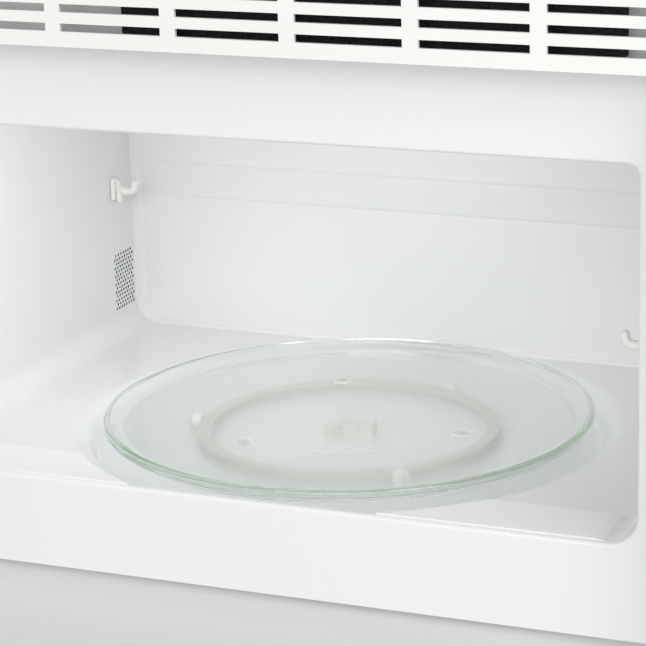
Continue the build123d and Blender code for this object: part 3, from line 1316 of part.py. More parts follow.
def blower_motor():
    """Round motor between the two wheels on a cradle that stands on the cavity's ceiling."""
    half = BLOWER_MOTOR_LENGTH / 2
    can = rod((-half, DUCT_Y, BLOWER_Z), "X", BLOWER_MOTOR_R, BLOWER_MOTOR_LENGTH)
    post = BLOWER_MOTOR_R * 0.6
    foot = block(-post, post, DUCT_Y - post, DUCT_Y + post, BLOWER_LOW, BLOWER_Z - post)
    plate = block(-half, half, DUCT_Y - BLOWER_MOTOR_R, DUCT_Y + BLOWER_MOTOR_R, BLOWER_LOW, BLOWER_LOW + 2)
    bore = rod((-half - 1, DUCT_Y, BLOWER_Z), "X", BLOWER_SHAFT_R + RUNNING, 2 * half + 2)
    return can + foot + plate - bore


def blower_housing(start, side):
    """Scroll box round one wheel: round inlets in both ends, outlet in the top under the exhaust."""
    sheet = BLOWER_HOUSING_SHEET
    room = 2 * LOOSE
    x0, x1 = sorted((start - side * (sheet + room), start + side * (BLOWER_WHEEL_LENGTH + sheet + room)))
    y0, y1 = DUCT_Y - BLOWER_HOUSING_DEPTH / 2, DUCT_Y + BLOWER_HOUSING_DEPTH / 2
    body = block(x0, x1, y0, y1, BLOWER_LOW, BLOWER_HIGH)
    body = fillet(body.edges().filter_by(Axis.X).group_by(Axis.Y)[0], BLOWER_SCROLL_R)
    inner = block(x0 + sheet, x1 - sheet, y0 + sheet, y1 - sheet, BLOWER_LOW + sheet, BLOWER_HIGH - sheet)
    inner = fillet(inner.edges().filter_by(Axis.X).group_by(Axis.Y)[0], BLOWER_SCROLL_R - sheet)
    body -= inner
    body -= rod((x0 - 1, DUCT_Y, BLOWER_Z), "X", BLOWER_INLET_R, x1 - x0 + 2)
    outlet = (BLOWER_WHEEL_LENGTH * 0.8, DUCT_DEPTH * 0.6, 4 * sheet)
    return body - block_at(((x0 + x1) / 2, DUCT_Y, BLOWER_HIGH), outlet)


def blower_housings():
    return group([blower_housing(start, side) for start, side in blower_wheel_starts()])


def squirrel_cage(start, side):
    """Drum of thin blades between a solid disc and an end ring."""
    disc = 2.0
    body = rod((start, 0, 0), "X", BLOWER_WHEEL_R, side * disc)
    ring_x = start + side * (BLOWER_WHEEL_LENGTH - disc)
    ring = rod((ring_x, 0, 0), "X", BLOWER_WHEEL_R, side * disc)
    body += ring - rod((ring_x, 0, 0), "X", BLOWER_WHEEL_R - 9, side * disc)
    blade = block_at((start + side * BLOWER_WHEEL_LENGTH / 2, 0, BLOWER_WHEEL_R - 4.5), (BLOWER_WHEEL_LENGTH, 1.2, 8.5))
    blades = [Rot(index * 360 / BLOWER_BLADES, 0, 0) * blade for index in range(BLOWER_BLADES)]
    return body + blades


def blower_wheels():
    """Both squirrel-cage wheels on the motor's through shaft."""
    reach = max(abs(start) for start, side in blower_wheel_starts()) + 6
    body = rod((-reach, 0, 0), "X", BLOWER_SHAFT_R, 2 * reach)
    for start, side in blower_wheel_starts():
        body += squirrel_cage(start, side)
    return Pos(0, DUCT_Y, BLOWER_Z) * body


# ---------------------------------------------------------------- right-hand compartment


def compartment_shelf():
    """Folded shelf that carries the power parts above the air passage."""
    left = COMPARTMENT_LEFT
    right = RIGHT_X - CABINET_SHEET
    back = BACK_IN_Y
    body = block(left, right, FRAME_BACK_Y, back, SHELF_Z - BASE_SHEET, SHELF_Z)
    leg_low = DECK_Z + CABINET_SHEET
    body += block(right - BASE_SHEET, right, FRAME_BACK_Y, back, leg_low, SHELF_Z)
    body += block(left, left + BASE_SHEET, FRAME_BACK_Y, back - FILTER_DEPTH - FILTER_FROM_WALL, DECK_Z, SHELF_Z)
    return body


def waveguide():
    """Rectangular duct from the magnetron's antenna to the cavity's right wall."""
    sheet = BASE_SHEET
    x0, x1 = COMPARTMENT_LEFT, WAVEGUIDE_RIGHT
    half_y, half_z = WAVEGUIDE[1] / 2, WAVEGUIDE[2] / 2
    body = block(x0, x1, WAVEGUIDE_Y - half_y, WAVEGUIDE_Y + half_y, WAVEGUIDE_Z - half_z, WAVEGUIDE_Z + half_z)
    hollow = (WAVEGUIDE[0], WAVEGUIDE[1] - 2 * sheet, WAVEGUIDE[2] - 2 * sheet)
    body -= block_at(((x0 + x1) / 2 - sheet, WAVEGUIDE_Y, WAVEGUIDE_Z), hollow)
    return body - rod((x1 - 2 * sheet, WAVEGUIDE_Y, WAVEGUIDE_Z), "X", ANTENNA_R + LOOSE, 4 * sheet)


def magnetron():
    """Finned magnetron with its antenna in the waveguide and a filter box below."""
    width, depth, height = MAGNETRON
    x0 = WAVEGUIDE_RIGHT
    half_y, half_z = depth / 2, height / 2
    body = rod((x0, WAVEGUIDE_Y, WAVEGUIDE_Z), "X", 18, width)
    fin_pitch = (width - 4) / MAGNETRON_FINS
    for index in range(MAGNETRON_FINS + 1):
        x = x0 + index * fin_pitch
        body += block(x, x + 1.2, WAVEGUIDE_Y - half_y, WAVEGUIDE_Y + half_y, WAVEGUIDE_Z - half_z, WAVEGUIDE_Z + half_z)
    for side in (-1, 1):
        y = WAVEGUIDE_Y + side * half_y
        body += block(x0, x0 + width, min(y, y - side * 2), max(y, y - side * 2), WAVEGUIDE_Z - half_z, WAVEGUIDE_Z + half_z)
    antenna = rod((x0, WAVEGUIDE_Y, WAVEGUIDE_Z), "X", ANTENNA_R, -ANTENNA_LENGTH)
    filter_box = block(x0 + width * 0.4, x0 + width, WAVEGUIDE_Y - 24, WAVEGUIDE_Y + 24, WAVEGUIDE_Z - half_z - 22, WAVEGUIDE_Z - half_z)
    return body + antenna + filter_box


def power_transformer():
    """Laminated core with two windings, on the shelf."""
    width, depth, height = TRANSFORMER
    x, y = COMPARTMENT_X + POWER_PARTS_RIGHT, -TRANSFORMER_FROM_WALL
    core = block_at((x, y, SHELF_Z + height / 2), (width, depth * 0.55, height))
    coil = rounded_block((x, y, SHELF_Z + height / 2), (width * 0.55, depth, height * 0.5), 12, Axis.Z)
    foot = block_at((x, y, SHELF_Z + 1), (width + 14, depth * 0.7, 2))
    return core + coil + foot


def power_capacitor():
    """Oval capacitor can lying against the shelf, with two terminals."""
    width, depth, height = CAPACITOR
    x, y = COMPARTMENT_X + POWER_PARTS_RIGHT, -CAPACITOR_FROM_WALL
    can = rounded_block((x, y, SHELF_Z + depth / 2), (height, width, depth), depth * 0.49, Axis.X)
    tag_x = x + height / 2 + CAPACITOR_TAG[0] * 0.4
    for side in (-1, 1):
        can += block_at((tag_x, y + side * CAPACITOR_TAG_PITCH / 2, SHELF_Z + depth / 2), CAPACITOR_TAG)
    return can


def fan_centre():
    x = WAVEGUIDE_RIGHT + MAGNETRON[0] * 0.6
    return x, WAVEGUIDE_Z + 8


def fan_shroud():
    """Square duct on the back panel round the cooling fan."""
    x, z = fan_centre()
    half = FAN_R + FAN_SHROUD_WALL + LOOSE
    front = BACK_IN_Y - FAN_SHROUD_DEPTH
    body = block(x - half, x + half, front, BACK_IN_Y, z - half, z + half)
    return body - rod((x, front - 1, z), "Y", FAN_R + LOOSE, FAN_SHROUD_DEPTH + 2)


def fan_motor():
    """Shaded-pole motor on the back panel, inside the shroud."""
    x, z = fan_centre()
    body = rod((x, BACK_IN_Y, z), "Y", FAN_MOTOR_R, -FAN_MOTOR_LENGTH)
    body += block_at((x, BACK_IN_Y - 2, z), (2.6 * FAN_MOTOR_R, 4, 14))
    return body - rod((x, BACK_IN_Y - FAN_MOTOR_LENGTH - 1, z), "Y", FAN_SHAFT_R + RUNNING, FAN_MOTOR_LENGTH * 0.7)


def fan_rotor():
    """Hub, shaft and pitched blades of the cooling fan."""
    x, z = fan_centre()
    hub_back = -FAN_MOTOR_LENGTH - LOOSE
    hub_length = 16.0
    body = rod((0, hub_back - hub_length, 0), "Y", FAN_HUB_R, hub_length)
    body += rod((0, hub_back, 0), "Y", FAN_SHAFT_R, FAN_MOTOR_LENGTH * 0.5)
    blade_mid = (FAN_HUB_R + FAN_R) / 2
    blade = block_at((0, 0, 0), (1.4, 20, FAN_R - FAN_HUB_R + 4))
    blade = Pos(0, hub_back - hub_length / 2, blade_mid - 4) * Rot(0, 0, 38) * blade
    trim = rod((0, hub_back - hub_length - 4, 0), "Y", FAN_R, hub_length + 8)
    for index in range(FAN_BLADES):
        body += Rot(0, index * 360 / FAN_BLADES, 0) * blade
    return Pos(x, BACK_IN_Y, z) * (body & (trim + rod((0, hub_back, 0), "Y", FAN_SHAFT_R, FAN_MOTOR_LENGTH)))


def cord_gland():
    """Flanged bush through the top for the supply cord."""
    x, y = gland_place()
    half = GLAND_LENGTH / 2
    sheet_low = TOP_Z - CABINET_SHEET
    middle = (TOP_Z + sheet_low) / 2
    body = rod((x, y, middle - half), "Z", GLAND_NECK_R, GLAND_LENGTH)
    body += rod((x, y, TOP_Z), "Z", GLAND_R, 3)
    body += rod((x, y, sheet_low), "Z", GLAND_R, -3)
    return body - rod((x, y, middle - half - 1), "Z", GLAND_BORE_R, GLAND_LENGTH + 2)


def cavity_lamp_housing():
    """Sheet box over the lamp holes in the ceiling."""
    x, y = cavity_lamp_place()
    width, depth, height = CAVITY_LAMP_BOX
    deck = CEILING_Z + LINER
    body = block_at((x, y, deck + height / 2), (width, depth, height))
    return body - block_at((x, y, deck + height / 2 - 1), (width - 2, depth - 2, height - 2 + 1))


def cavity_lamp():
    """Small bulb and holder against the lamp box's side."""
    x, y = cavity_lamp_place()
    width, depth, height = CAVITY_LAMP_BOX
    z = CEILING_Z + LINER + height * 0.45
    wall_x = x - width / 2 + 1
    bulb = fillet(rod((wall_x + 12, y, z), "X", 9, 28).edges().filter_by(GeomType.CIRCLE), 4)
    return rod((wall_x, y, z), "X", 8, 12) + bulb


# ---------------------------------------------------------------- nodes

NODES = {
    "mounting_plate": mounting_plate,
    "back_panel": back_panel,
    "cabinet_wrap": cabinet_wrap,
    "base_plate": base_plate,
    "base_screws": base_screws,
    "front_frame": front_frame,
    "cavity_floor": cavity_floor,
    "cavity_wrap": cavity_wrap,
    "cavity_back": cavity_back,
    "rack_supports": rack_supports,
    "waveguide_cover": waveguide_cover,
    "turntable_glass": turntable_glass,
    "drive_hub": drive_hub,
    "motor_shaft": motor_shaft,
    "turntable_motor": turntable_motor,
    "roller_ring": roller_ring,
    "door_frame": lambda: swing_open(door_frame()),
    "door_glass": lambda: swing_open(door_glass()),
    "choke_panel": lambda: swing_open(choke_panel()),
    "choke_cover": lambda: swing_open(choke_cover()),
    "inner_window": lambda: swing_open(inner_window()),
    "door_handle": lambda: swing_open(door_handle()),
    "handle_screws": lambda: swing_open(handle_screws()),
    "latch_hooks": lambda: swing_open(latch_hooks()),
    "latch_spring": lambda: swing_open(latch_spring()),
    "hinge_brackets": hinge_brackets,
    "interlock_bracket": interlock_bracket,
    "interlock_switches": interlock_switches,
    "control_panel": panel_shell,
    "keypad": keypad,
    "display_lens": display_lens,
    "control_board": control_board,
    "vent_grille": vent_grille,
    "charcoal_filter": charcoal_filter,
    "grease_filter_left": lambda: grease_filter(0),
    "grease_filter_right": lambda: grease_filter(1),
    "lamp_cover": lamp_cover,
    "lamp_housing": lamp_housing,
    "cooktop_lamps": cooktop_lamps,
    "exhaust_adapter": exhaust_adapter,
    "damper_flap": damper_flap,
    "blower_motor": blower_motor,
    "blower_housings": blower_housings,
    "blower_wheels": blower_wheels,
    "compartment_shelf": compartment_shelf,
    "waveguide": waveguide,
    "magnetron": magnetron,
    "power_transformer": power_transformer,
    "power_capacitor": power_capacitor,
    "fan_shroud": fan_shroud,
    "fan_motor": fan_motor,
    "fan_rotor": fan_rotor,
    "cord_gland": cord_gland,
    "cavity_lamp_housing": cavity_lamp_housing,
    "cavity_lamp": cavity_lamp,
}
for number in range(WHEEL_COUNT):
    NODES[f"roller_wheel_{number + 1}"] = lambda number=number: roller_wheel(number)
for number in range(SWITCH_COUNT):
    NODES[f"switch_plunger_{number + 1}"] = lambda number=number: switch_plunger(number)

os.makedirs("parts", exist_ok=True)
for node, make in NODES.items():
    export_step(make(), f"parts/{node}.step")
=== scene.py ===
import math

import bmesh
import bpy
import numpy as np
from mathutils import Matrix, Vector


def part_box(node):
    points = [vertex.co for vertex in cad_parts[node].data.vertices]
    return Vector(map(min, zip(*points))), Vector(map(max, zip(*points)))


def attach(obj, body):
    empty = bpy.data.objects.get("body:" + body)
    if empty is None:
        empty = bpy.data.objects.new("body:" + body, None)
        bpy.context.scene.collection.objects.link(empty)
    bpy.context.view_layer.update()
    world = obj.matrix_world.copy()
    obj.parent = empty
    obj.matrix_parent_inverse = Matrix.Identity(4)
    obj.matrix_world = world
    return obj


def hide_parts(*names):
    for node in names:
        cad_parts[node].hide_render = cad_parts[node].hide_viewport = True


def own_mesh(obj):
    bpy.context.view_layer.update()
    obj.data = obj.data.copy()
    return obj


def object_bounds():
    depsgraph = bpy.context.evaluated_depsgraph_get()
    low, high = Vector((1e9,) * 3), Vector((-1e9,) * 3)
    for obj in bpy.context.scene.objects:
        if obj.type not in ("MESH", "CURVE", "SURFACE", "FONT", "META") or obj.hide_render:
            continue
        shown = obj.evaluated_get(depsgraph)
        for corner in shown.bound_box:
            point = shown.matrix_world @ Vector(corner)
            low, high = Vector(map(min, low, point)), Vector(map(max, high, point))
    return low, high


# Looks of the over the range microwave oven, stored with its door open. Sizes are in millimetres
# until a mesh or a node takes them, and MM turns them to metres. X runs right, Y runs back to the
# wall, Z runs up.

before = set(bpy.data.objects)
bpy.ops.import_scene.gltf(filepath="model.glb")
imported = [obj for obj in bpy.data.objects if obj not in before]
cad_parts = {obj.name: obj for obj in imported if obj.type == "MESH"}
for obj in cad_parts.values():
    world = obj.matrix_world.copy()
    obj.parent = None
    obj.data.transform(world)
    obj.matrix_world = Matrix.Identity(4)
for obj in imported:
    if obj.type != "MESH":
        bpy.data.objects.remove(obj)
cad_box = [list(corner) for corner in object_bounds()]

MM = 0.001

# ---------------------------------------------------------------- sizes, as in the part's source

CABINET_HALF_WIDTH, CABINET_TOP = 379.5, 210.0
CAVITY_LEFT, CAVITY_RIGHT = -346.5, 164.5
FRONT_Y, LINER_BACK_Y = -375.0, -22.0
FLOOR_Z, CEILING_Z, RECESS_Z = -148.0, 102.0, -164.0
LINER = 1.2  # thickness of the cavity's sheets
RECESS_EDGE_R = 192.5
SILL_DEPTH, SILL_RISE = 51.0, 1.2
BACK_PRESS, BACK_PRESS_EDGE = 3.0, 4.0  # depth of the pressed panel, distance from the sides
BACK_CREASE_LOW, BACK_CREASE_HIGH = 105.0, 132.0  # above the floor

TURN_X, TURN_Y = -94.0, -199.0
GLASS_R = 171.5
GLASS_LOW, PLATE_TOP, RIM_Z = -151.7, -146.7, -139.7

SUPPORT_LOW = 106.0  # above the floor
SUPPORT_ROWS = (-54.0, -333.0)
SPRING_WIRE_R, SPRING_TURNS, LATCH_TRAVEL = 0.5, 7, 4.0

# ---------------------------------------------------------------- colours and shader nodes


def colour(hex_code):
    """Linear RGBA of an sRGB hex colour such as EDEEED."""
    srgb = np.array([int(hex_code[i : i + 2], 16) for i in (0, 2, 4)]) / 255
    linear = np.where(srgb <= 0.04045, srgb / 12.92, ((srgb + 0.055) / 1.055) ** 2.4)
    return (*linear.tolist(), 1.0)


def plug(material, socket, value):
    """Gives a socket its value: another node's output, a hex colour, a number or a vector."""
    if isinstance(value, bpy.types.NodeSocket):
        material.node_tree.links.new(value, socket)
    else:
        socket.default_value = colour(value) if isinstance(value, str) else value


def add(material, kind, inputs=None, **settings):
    """Adds one node to a material or the world, with its settings and the values of its inputs."""
    node = material.node_tree.nodes.new(kind)
    for key, value in settings.items():
        setattr(node, key, value)
    for key, value in (inputs or {}).items():
        plug(material, node.inputs[key], value)
    return node


def finish(name, base, roughness, sockets=None):
    """A new material, its Principled shader, and the Object coordinates that its patterns read."""
    material = bpy.data.materials.new(name)
    material.use_nodes = True
    shader = material.node_tree.nodes["Principled BSDF"]
    for key, value in {"Base Color": base, "Roughness": roughness, **(sockets or {})}.items():
        plug(material, shader.inputs[key], value)
    return material, shader, add(material, "ShaderNodeTexCoord").outputs["Object"]


def grain(material, shader, place, size, depth):
    """Fine relief of a moulded or sprayed surface: noise of a grain size and a depth in mm."""
    noise = {"Vector": place, "Scale": 1 / (size * MM), "Detail": 2.0, "Roughness": 0.5}
    noise = add(material, "ShaderNodeTexNoise", noise)
    relief = {"Height": noise.outputs["Fac"], "Strength": 1.0, "Distance": depth * MM}
    relief = add(material, "ShaderNodeBump", relief)
    plug(material, shader.inputs["Normal"], relief.outputs["Normal"])


def clouding(material, shader, place, light, dark, size, rough=None):
    """Slow change of tone over size mm, and of roughness between the two values of rough."""
    noise = {"Vector": place, "Scale": 1 / (size * MM), "Detail": 3.0, "Roughness": 0.55}
    noise = add(material, "ShaderNodeTexNoise", noise).outputs["Fac"]
    tone = {"Fac": noise, "Color1": dark, "Color2": light}
    tone = add(material, "ShaderNodeMixRGB", tone).outputs["Color"]
    plug(material, shader.inputs["Base Color"], tone)
    if rough:
        low, high = rough
        span = {"Value": noise, "From Min": 0.3, "From Max": 0.7, "To Min": low, "To Max": high}
        span = add(material, "ShaderNodeMapRange", span)
        plug(material, shader.inputs["Roughness"], span.outputs["Result"])
    return tone


# ---------------------------------------------------------------- finishes

PAINT_SKIN = 0.4  # depth of the cabinet's outer faces, within which the paint is white
PAINT_GLOSS = {"Coat Weight": 0.15, "Coat Roughness": 0.15}
HOLE_SKIN = 0.15  # depth of the left wall's face, beyond which the sheet is painted near-black, painted shade in its holes
SILL_BLEND = 0.5  # half the width of the change of tone at the edge of the sill's painted highlight

STIPPLE_R, STIPPLE_PITCH, STIPPLE_BLEND = 74.0, 3.0, 3.0
GLASS_BODY = "94D690"  # iron green, seen only through a long way in the glass
GLASS_DENSITY = 8.0
CLEAR_FROM_DEPTH = 2.5  # bounces of light after which the dish lets it pass

WINDOW_Y, WINDOW_HALF_WIDTH = -677.5, 194.0  # of the open door, as stored
WINDOW_Z, WINDOW_HALF_HEIGHT = -29.5, 95.0
PANE_HALF_WIDTH, PANE_HALF_HEIGHT = 176.0, 82.0  # the clear window in the door pane's black ink
PANE_CORNER_R, PANE_BLEND = 10.0, 0.3
HOLE_PITCH, HOLE_R, HOLE_BLEND = 2.2, 0.75, 0.07


def powder_coated_steel():
    """White polyester powder coat, sprayed and baked: orange peel 2 mm across, satin gloss."""
    material, shader, place = finish("white_powder_coated_steel", "EEEFEF", 0.3, PAINT_GLOSS)
    clouding(material, shader, place, "EFF0F0", "EDEEEE", 160)
    grain(material, shader, place, 2.2, 0.012)
    return material


def cabinet_paint():
    """The cabinet's sheet: white powder coat outside, dark grey primer on every inner face."""
    material, shader, place = finish("white_paint_over_primer", "EEEFEF", 0.3, PAINT_GLOSS)
    white = clouding(material, shader, place, "EFF0F0", "EDEEEE", 160)
    parts = add(material, "ShaderNodeSeparateXYZ", {"Vector": place})
    side = add(material, "ShaderNodeMath", {0: parts.outputs["X"]}, operation="ABSOLUTE")
    side = {0: side.outputs[0], 1: (CABINET_HALF_WIDTH - PAINT_SKIN) * MM}
    side = add(material, "ShaderNodeMath", side, operation="GREATER_THAN")
    top = {0: parts.outputs["Z"], 1: (CABINET_TOP - PAINT_SKIN) * MM}
    top = add(material, "ShaderNodeMath", top, operation="GREATER_THAN")
    outside = {0: side.outputs[0], 1: top.outputs[0]}
    outside = add(material, "ShaderNodeMath", outside, operation="MAXIMUM")
    painted = {"Fac": outside.outputs[0], "Color1": "3C3E40", "Color2": white}
    painted = add(material, "ShaderNodeMixRGB", painted)
    plug(material, shader.inputs["Base Color"], painted.outputs["Color"])
    grain(material, shader, place, 2.2, 0.012)
    return material


def oven_enamel():
    """White acrylic enamel of the cavity, baked on: cooler than the case, satin with a wet gloss.

    The sill is painted whiter than the floor as a painted highlight, so the tone changes at its
    rear edge.
    Beyond the left wall's face, which takes in the walls of its holes, the sheet is painted
    near-black: painted shade in the holes, and dark primer on the hidden outer face.
    """
    gloss = {"Coat Weight": 0.3, "Coat Roughness": 0.12}
    material, shader, place = finish("cavity_acrylic_enamel", "EBEBEC", 0.28, gloss)
    white = clouding(material, shader, place, "ECECED", "EAEAEC", 120)
    parts = add(material, "ShaderNodeSeparateXYZ", {"Vector": place}).outputs
    rear, low = FRONT_Y + SILL_DEPTH, (FLOOR_Z + SILL_RISE / 2) * MM
    edge = {"From Min": (rear + SILL_BLEND) * MM, "From Max": (rear - SILL_BLEND) * MM}
    near = add(material, "ShaderNodeMapRange", {"Value": parts["Y"], **edge})
    above = add(material, "ShaderNodeMath", {0: parts["Z"], 1: low}, operation="GREATER_THAN")
    below = {0: parts["Z"], 1: low + SILL_RISE * MM}
    below = add(material, "ShaderNodeMath", below, operation="LESS_THAN")
    level = {0: above.outputs[0], 1: below.outputs[0]}
    level = add(material, "ShaderNodeMath", level, operation="MULTIPLY")
    # Painted highlight: the sill's top is painted a whiter white than the rest of the floor.
    sill_highlight = {0: near.outputs["Result"], 1: level.outputs[0]}
    sill_highlight = add(material, "ShaderNodeMath", sill_highlight, operation="MULTIPLY")
    painted = {"Fac": sill_highlight.outputs[0], "Color1": white, "Color2": "F4F4F4"}
    painted = add(material, "ShaderNodeMixRGB", painted)
    # Painted shade: beyond the left wall's face the sheet turns near-black, so its holes read dark.
    outside = {0: parts["X"], 1: (CAVITY_LEFT - HOLE_SKIN) * MM}
    outside = add(material, "ShaderNodeMath", outside, operation="LESS_THAN")
    painted = {"Fac": outside.outputs[0], "Color1": painted.outputs["Color"], "Color2": "2E3032"}
    painted = add(material, "ShaderNodeMixRGB", painted)
    plug(material, shader.inputs["Base Color"], painted.outputs["Color"])
    grain(material, shader, place, 3.0, 0.01)
    return material


def galvanised_sheet():
    """Hot-dip galvanised steel: zinc crystals about 9 mm across, each with its own shine."""
    material, shader, place = finish("galvanised_steel_sheet", "B7BCBF", 0.42, {"Metallic": 1.0})
    spangle = {"Vector": place, "Scale": 1 / (9 * MM)}
    spangle = add(material, "ShaderNodeTexVoronoi", spangle).outputs["Color"]
    tone = {"Fac": spangle, "Color1": "A9AFB3", "Color2": "C6CACC"}
    tone = add(material, "ShaderNodeMixRGB", tone)
    plug(material, shader.inputs["Base Color"], tone.outputs["Color"])
    shine = add(material, "ShaderNodeMapRange", {"Value": spangle, "To Min": 0.34, "To Max": 0.5})
    plug(material, shader.inputs["Roughness"], shine.outputs["Result"])
    grain(material, shader, place, 4.0, 0.02)
    return material


def white_abs():
    """Injection-moulded white ABS with a fine spark-eroded texture: 0.7 mm grain, drawn as 1 mm."""
    material, shader, place = finish("white_abs_moulding", "F0F0EE", 0.4)
    clouding(material, shader, place, "F1F1EF", "EEEEEB", 120, (0.36, 0.44))
    grain(material, shader, place, 1.0, 0.02)
    return material


def ivory_nylon():
    """Injection-moulded nylon of the rack hooks: slightly cream, lets light into its surface."""
    depth = {"Subsurface Weight": 0.25, "Subsurface Scale": 0.002}
    depth["Subsurface Radius"] = (1.0, 0.9, 0.7)
    material, shader, place = finish("ivory_nylon_moulding", "F4F3ED", 0.38, depth)
    grain(material, shader, place, 1.4, 0.03)
    return material


def plain_plastic(name, light, dark, roughness, grain_size):
    """Moulded engineering plastic of an inner part, with a fine grain and slight clouds of tone."""
    material, shader, place = finish(name, light, roughness)
    clouding(material, shader, place, light, dark, 40, (roughness - 0.05, roughness + 0.07))
    grain(material, shader, place, grain_size, 0.03)
    return material


def turntable_soda_glass():
    """Pressed and tempered soda-lime glass: clear, green through its edge, stippled in the middle.

    The stipple is a bump of dots STIPPLE_PITCH apart inside STIPPLE_R. Shadow rays and diffuse rays
    pass straight through, and so does light that has already been bent or reflected three times,
    because it would otherwise end as black.
    """
    sockets = {"Transmission Weight": 1.0, "IOR": 1.52, "Coat Weight": 0.6, "Coat Roughness": 0.03}
    material, shader, place = finish("tempered_soda_lime_glass", "FDFEFE", 0.14, sockets)
    centred = {"Vector": place, "Location": (-TURN_X * MM, -TURN_Y * MM, 0.0)}
    centred = add(material, "ShaderNodeMapping", centred)
    flat = {0: centred.outputs["Vector"], 1: (1.0, 1.0, 0.0)}
    flat = add(material, "ShaderNodeVectorMath", flat, operation="MULTIPLY").outputs["Vector"]
    radius = add(material, "ShaderNodeVectorMath", {0: flat}, operation="LENGTH")
    edge = {"From Min": (STIPPLE_R + STIPPLE_BLEND) * MM, "From Max": STIPPLE_R * MM}
    middle = add(material, "ShaderNodeMapRange", {"Value": radius.outputs["Value"], **edge})
    dots = {"Vector": flat, "Scale": 1 / (STIPPLE_PITCH * MM), "Randomness": 0.6}
    dots = add(material, "ShaderNodeTexVoronoi", dots)
    height = {0: dots.outputs["Distance"], 1: middle.outputs["Result"]}
    height = add(material, "ShaderNodeMath", height, operation="MULTIPLY")
    relief = {"Height": height.outputs[0], "Strength": 0.1, "Distance": 0.3 * MM}
    relief = add(material, "ShaderNodeBump", relief, invert=True)
    plug(material, shader.inputs["Normal"], relief.outputs["Normal"])
    rays = add(material, "ShaderNodeLightPath").outputs
    plain = {0: rays["Is Shadow Ray"], 1: rays["Is Diffuse Ray"]}
    plain = add(material, "ShaderNodeMath", plain, operation="MAXIMUM")
    deep = {0: rays["Ray Depth"], 1: CLEAR_FROM_DEPTH}
    deep = add(material, "ShaderNodeMath", deep, operation="GREATER_THAN")
    either = {0: plain.outputs[0], 1: deep.outputs[0]}
    either = add(material, "ShaderNodeMath", either, operation="MAXIMUM")
    clear = add(material, "ShaderNodeBsdfTransparent", {"Color": "F9FAFA"})
    surface = {0: either.outputs[0], 1: shader.outputs["BSDF"], 2: clear.outputs["BSDF"]}
    surface = add(material, "ShaderNodeMixShader", surface)
    body = {"Color": GLASS_BODY, "Density": GLASS_DENSITY}
    body = add(material, "ShaderNodeVolumeAbsorption", body)
    output = material.node_tree.nodes["Material Output"]
    plug(material, output.inputs["Surface"], surface.outputs["Shader"])
    plug(material, output.inputs["Volume"], body.outputs["Volume"])
    return material


def clear_polyester():
    """Thin clear sheet over the door panel, drawn as its gloss over a faint tint."""
    sockets = {"Alpha": 0.16, "IOR": 1.5}
    material, shader, place = finish("clear_polyester_sheet", "F2F5F5", 0.06, sockets)
    grain(material, shader, place, 30.0, 0.05)
    return material


def smoked_glass():
    """Tempered door pane: black ink fired onto its edge, smoked and see-through in the middle.

    The clear window is a rounded rectangle: its edge is where the distance outside a smaller
    rectangle reaches the corner's radius.
    """
    gloss = {"Coat Weight": 1.0, "Coat Roughness": 0.02}
    material, shader, place = finish("smoked_tempered_glass", "0B0C0D", 0.04, gloss)
    parts = add(material, "ShaderNodeSeparateXYZ", {"Vector": place}).outputs
    squares = []
    for axis, middle, half in (("Y", WINDOW_Y, PANE_HALF_WIDTH), ("Z", WINDOW_Z, PANE_HALF_HEIGHT)):
        away = {0: parts[axis], 1: middle * MM}
        away = add(material, "ShaderNodeMath", away, operation="SUBTRACT")
        away = add(material, "ShaderNodeMath", {0: away.outputs[0]}, operation="ABSOLUTE")
        away = {0: away.outputs[0], 1: (half - PANE_CORNER_R) * MM}
        away = add(material, "ShaderNodeMath", away, operation="SUBTRACT")
        away = add(material, "ShaderNodeMath", {0: away.outputs[0], 1: 0.0}, operation="MAXIMUM")
        square = add(material, "ShaderNodeMath", {0: away.outputs[0], 1: 2.0}, operation="POWER")
        squares.append(square.outputs[0])
    far = add(material, "ShaderNodeMath", {0: squares[0], 1: squares[1]}, operation="ADD")
    far = add(material, "ShaderNodeMath", {0: far.outputs[0]}, operation="SQRT")
    ink = {"Value": far.outputs[0], "To Min": 0.62, "To Max": 1.0}
    ink["From Min"] = (PANE_CORNER_R - PANE_BLEND) * MM
    ink["From Max"] = (PANE_CORNER_R + PANE_BLEND) * MM
    ink = add(material, "ShaderNodeMapRange", ink)
    plug(material, shader.inputs["Alpha"], ink.outputs["Result"])
    grain(material, shader, place, 60.0, 0.03)
    return material


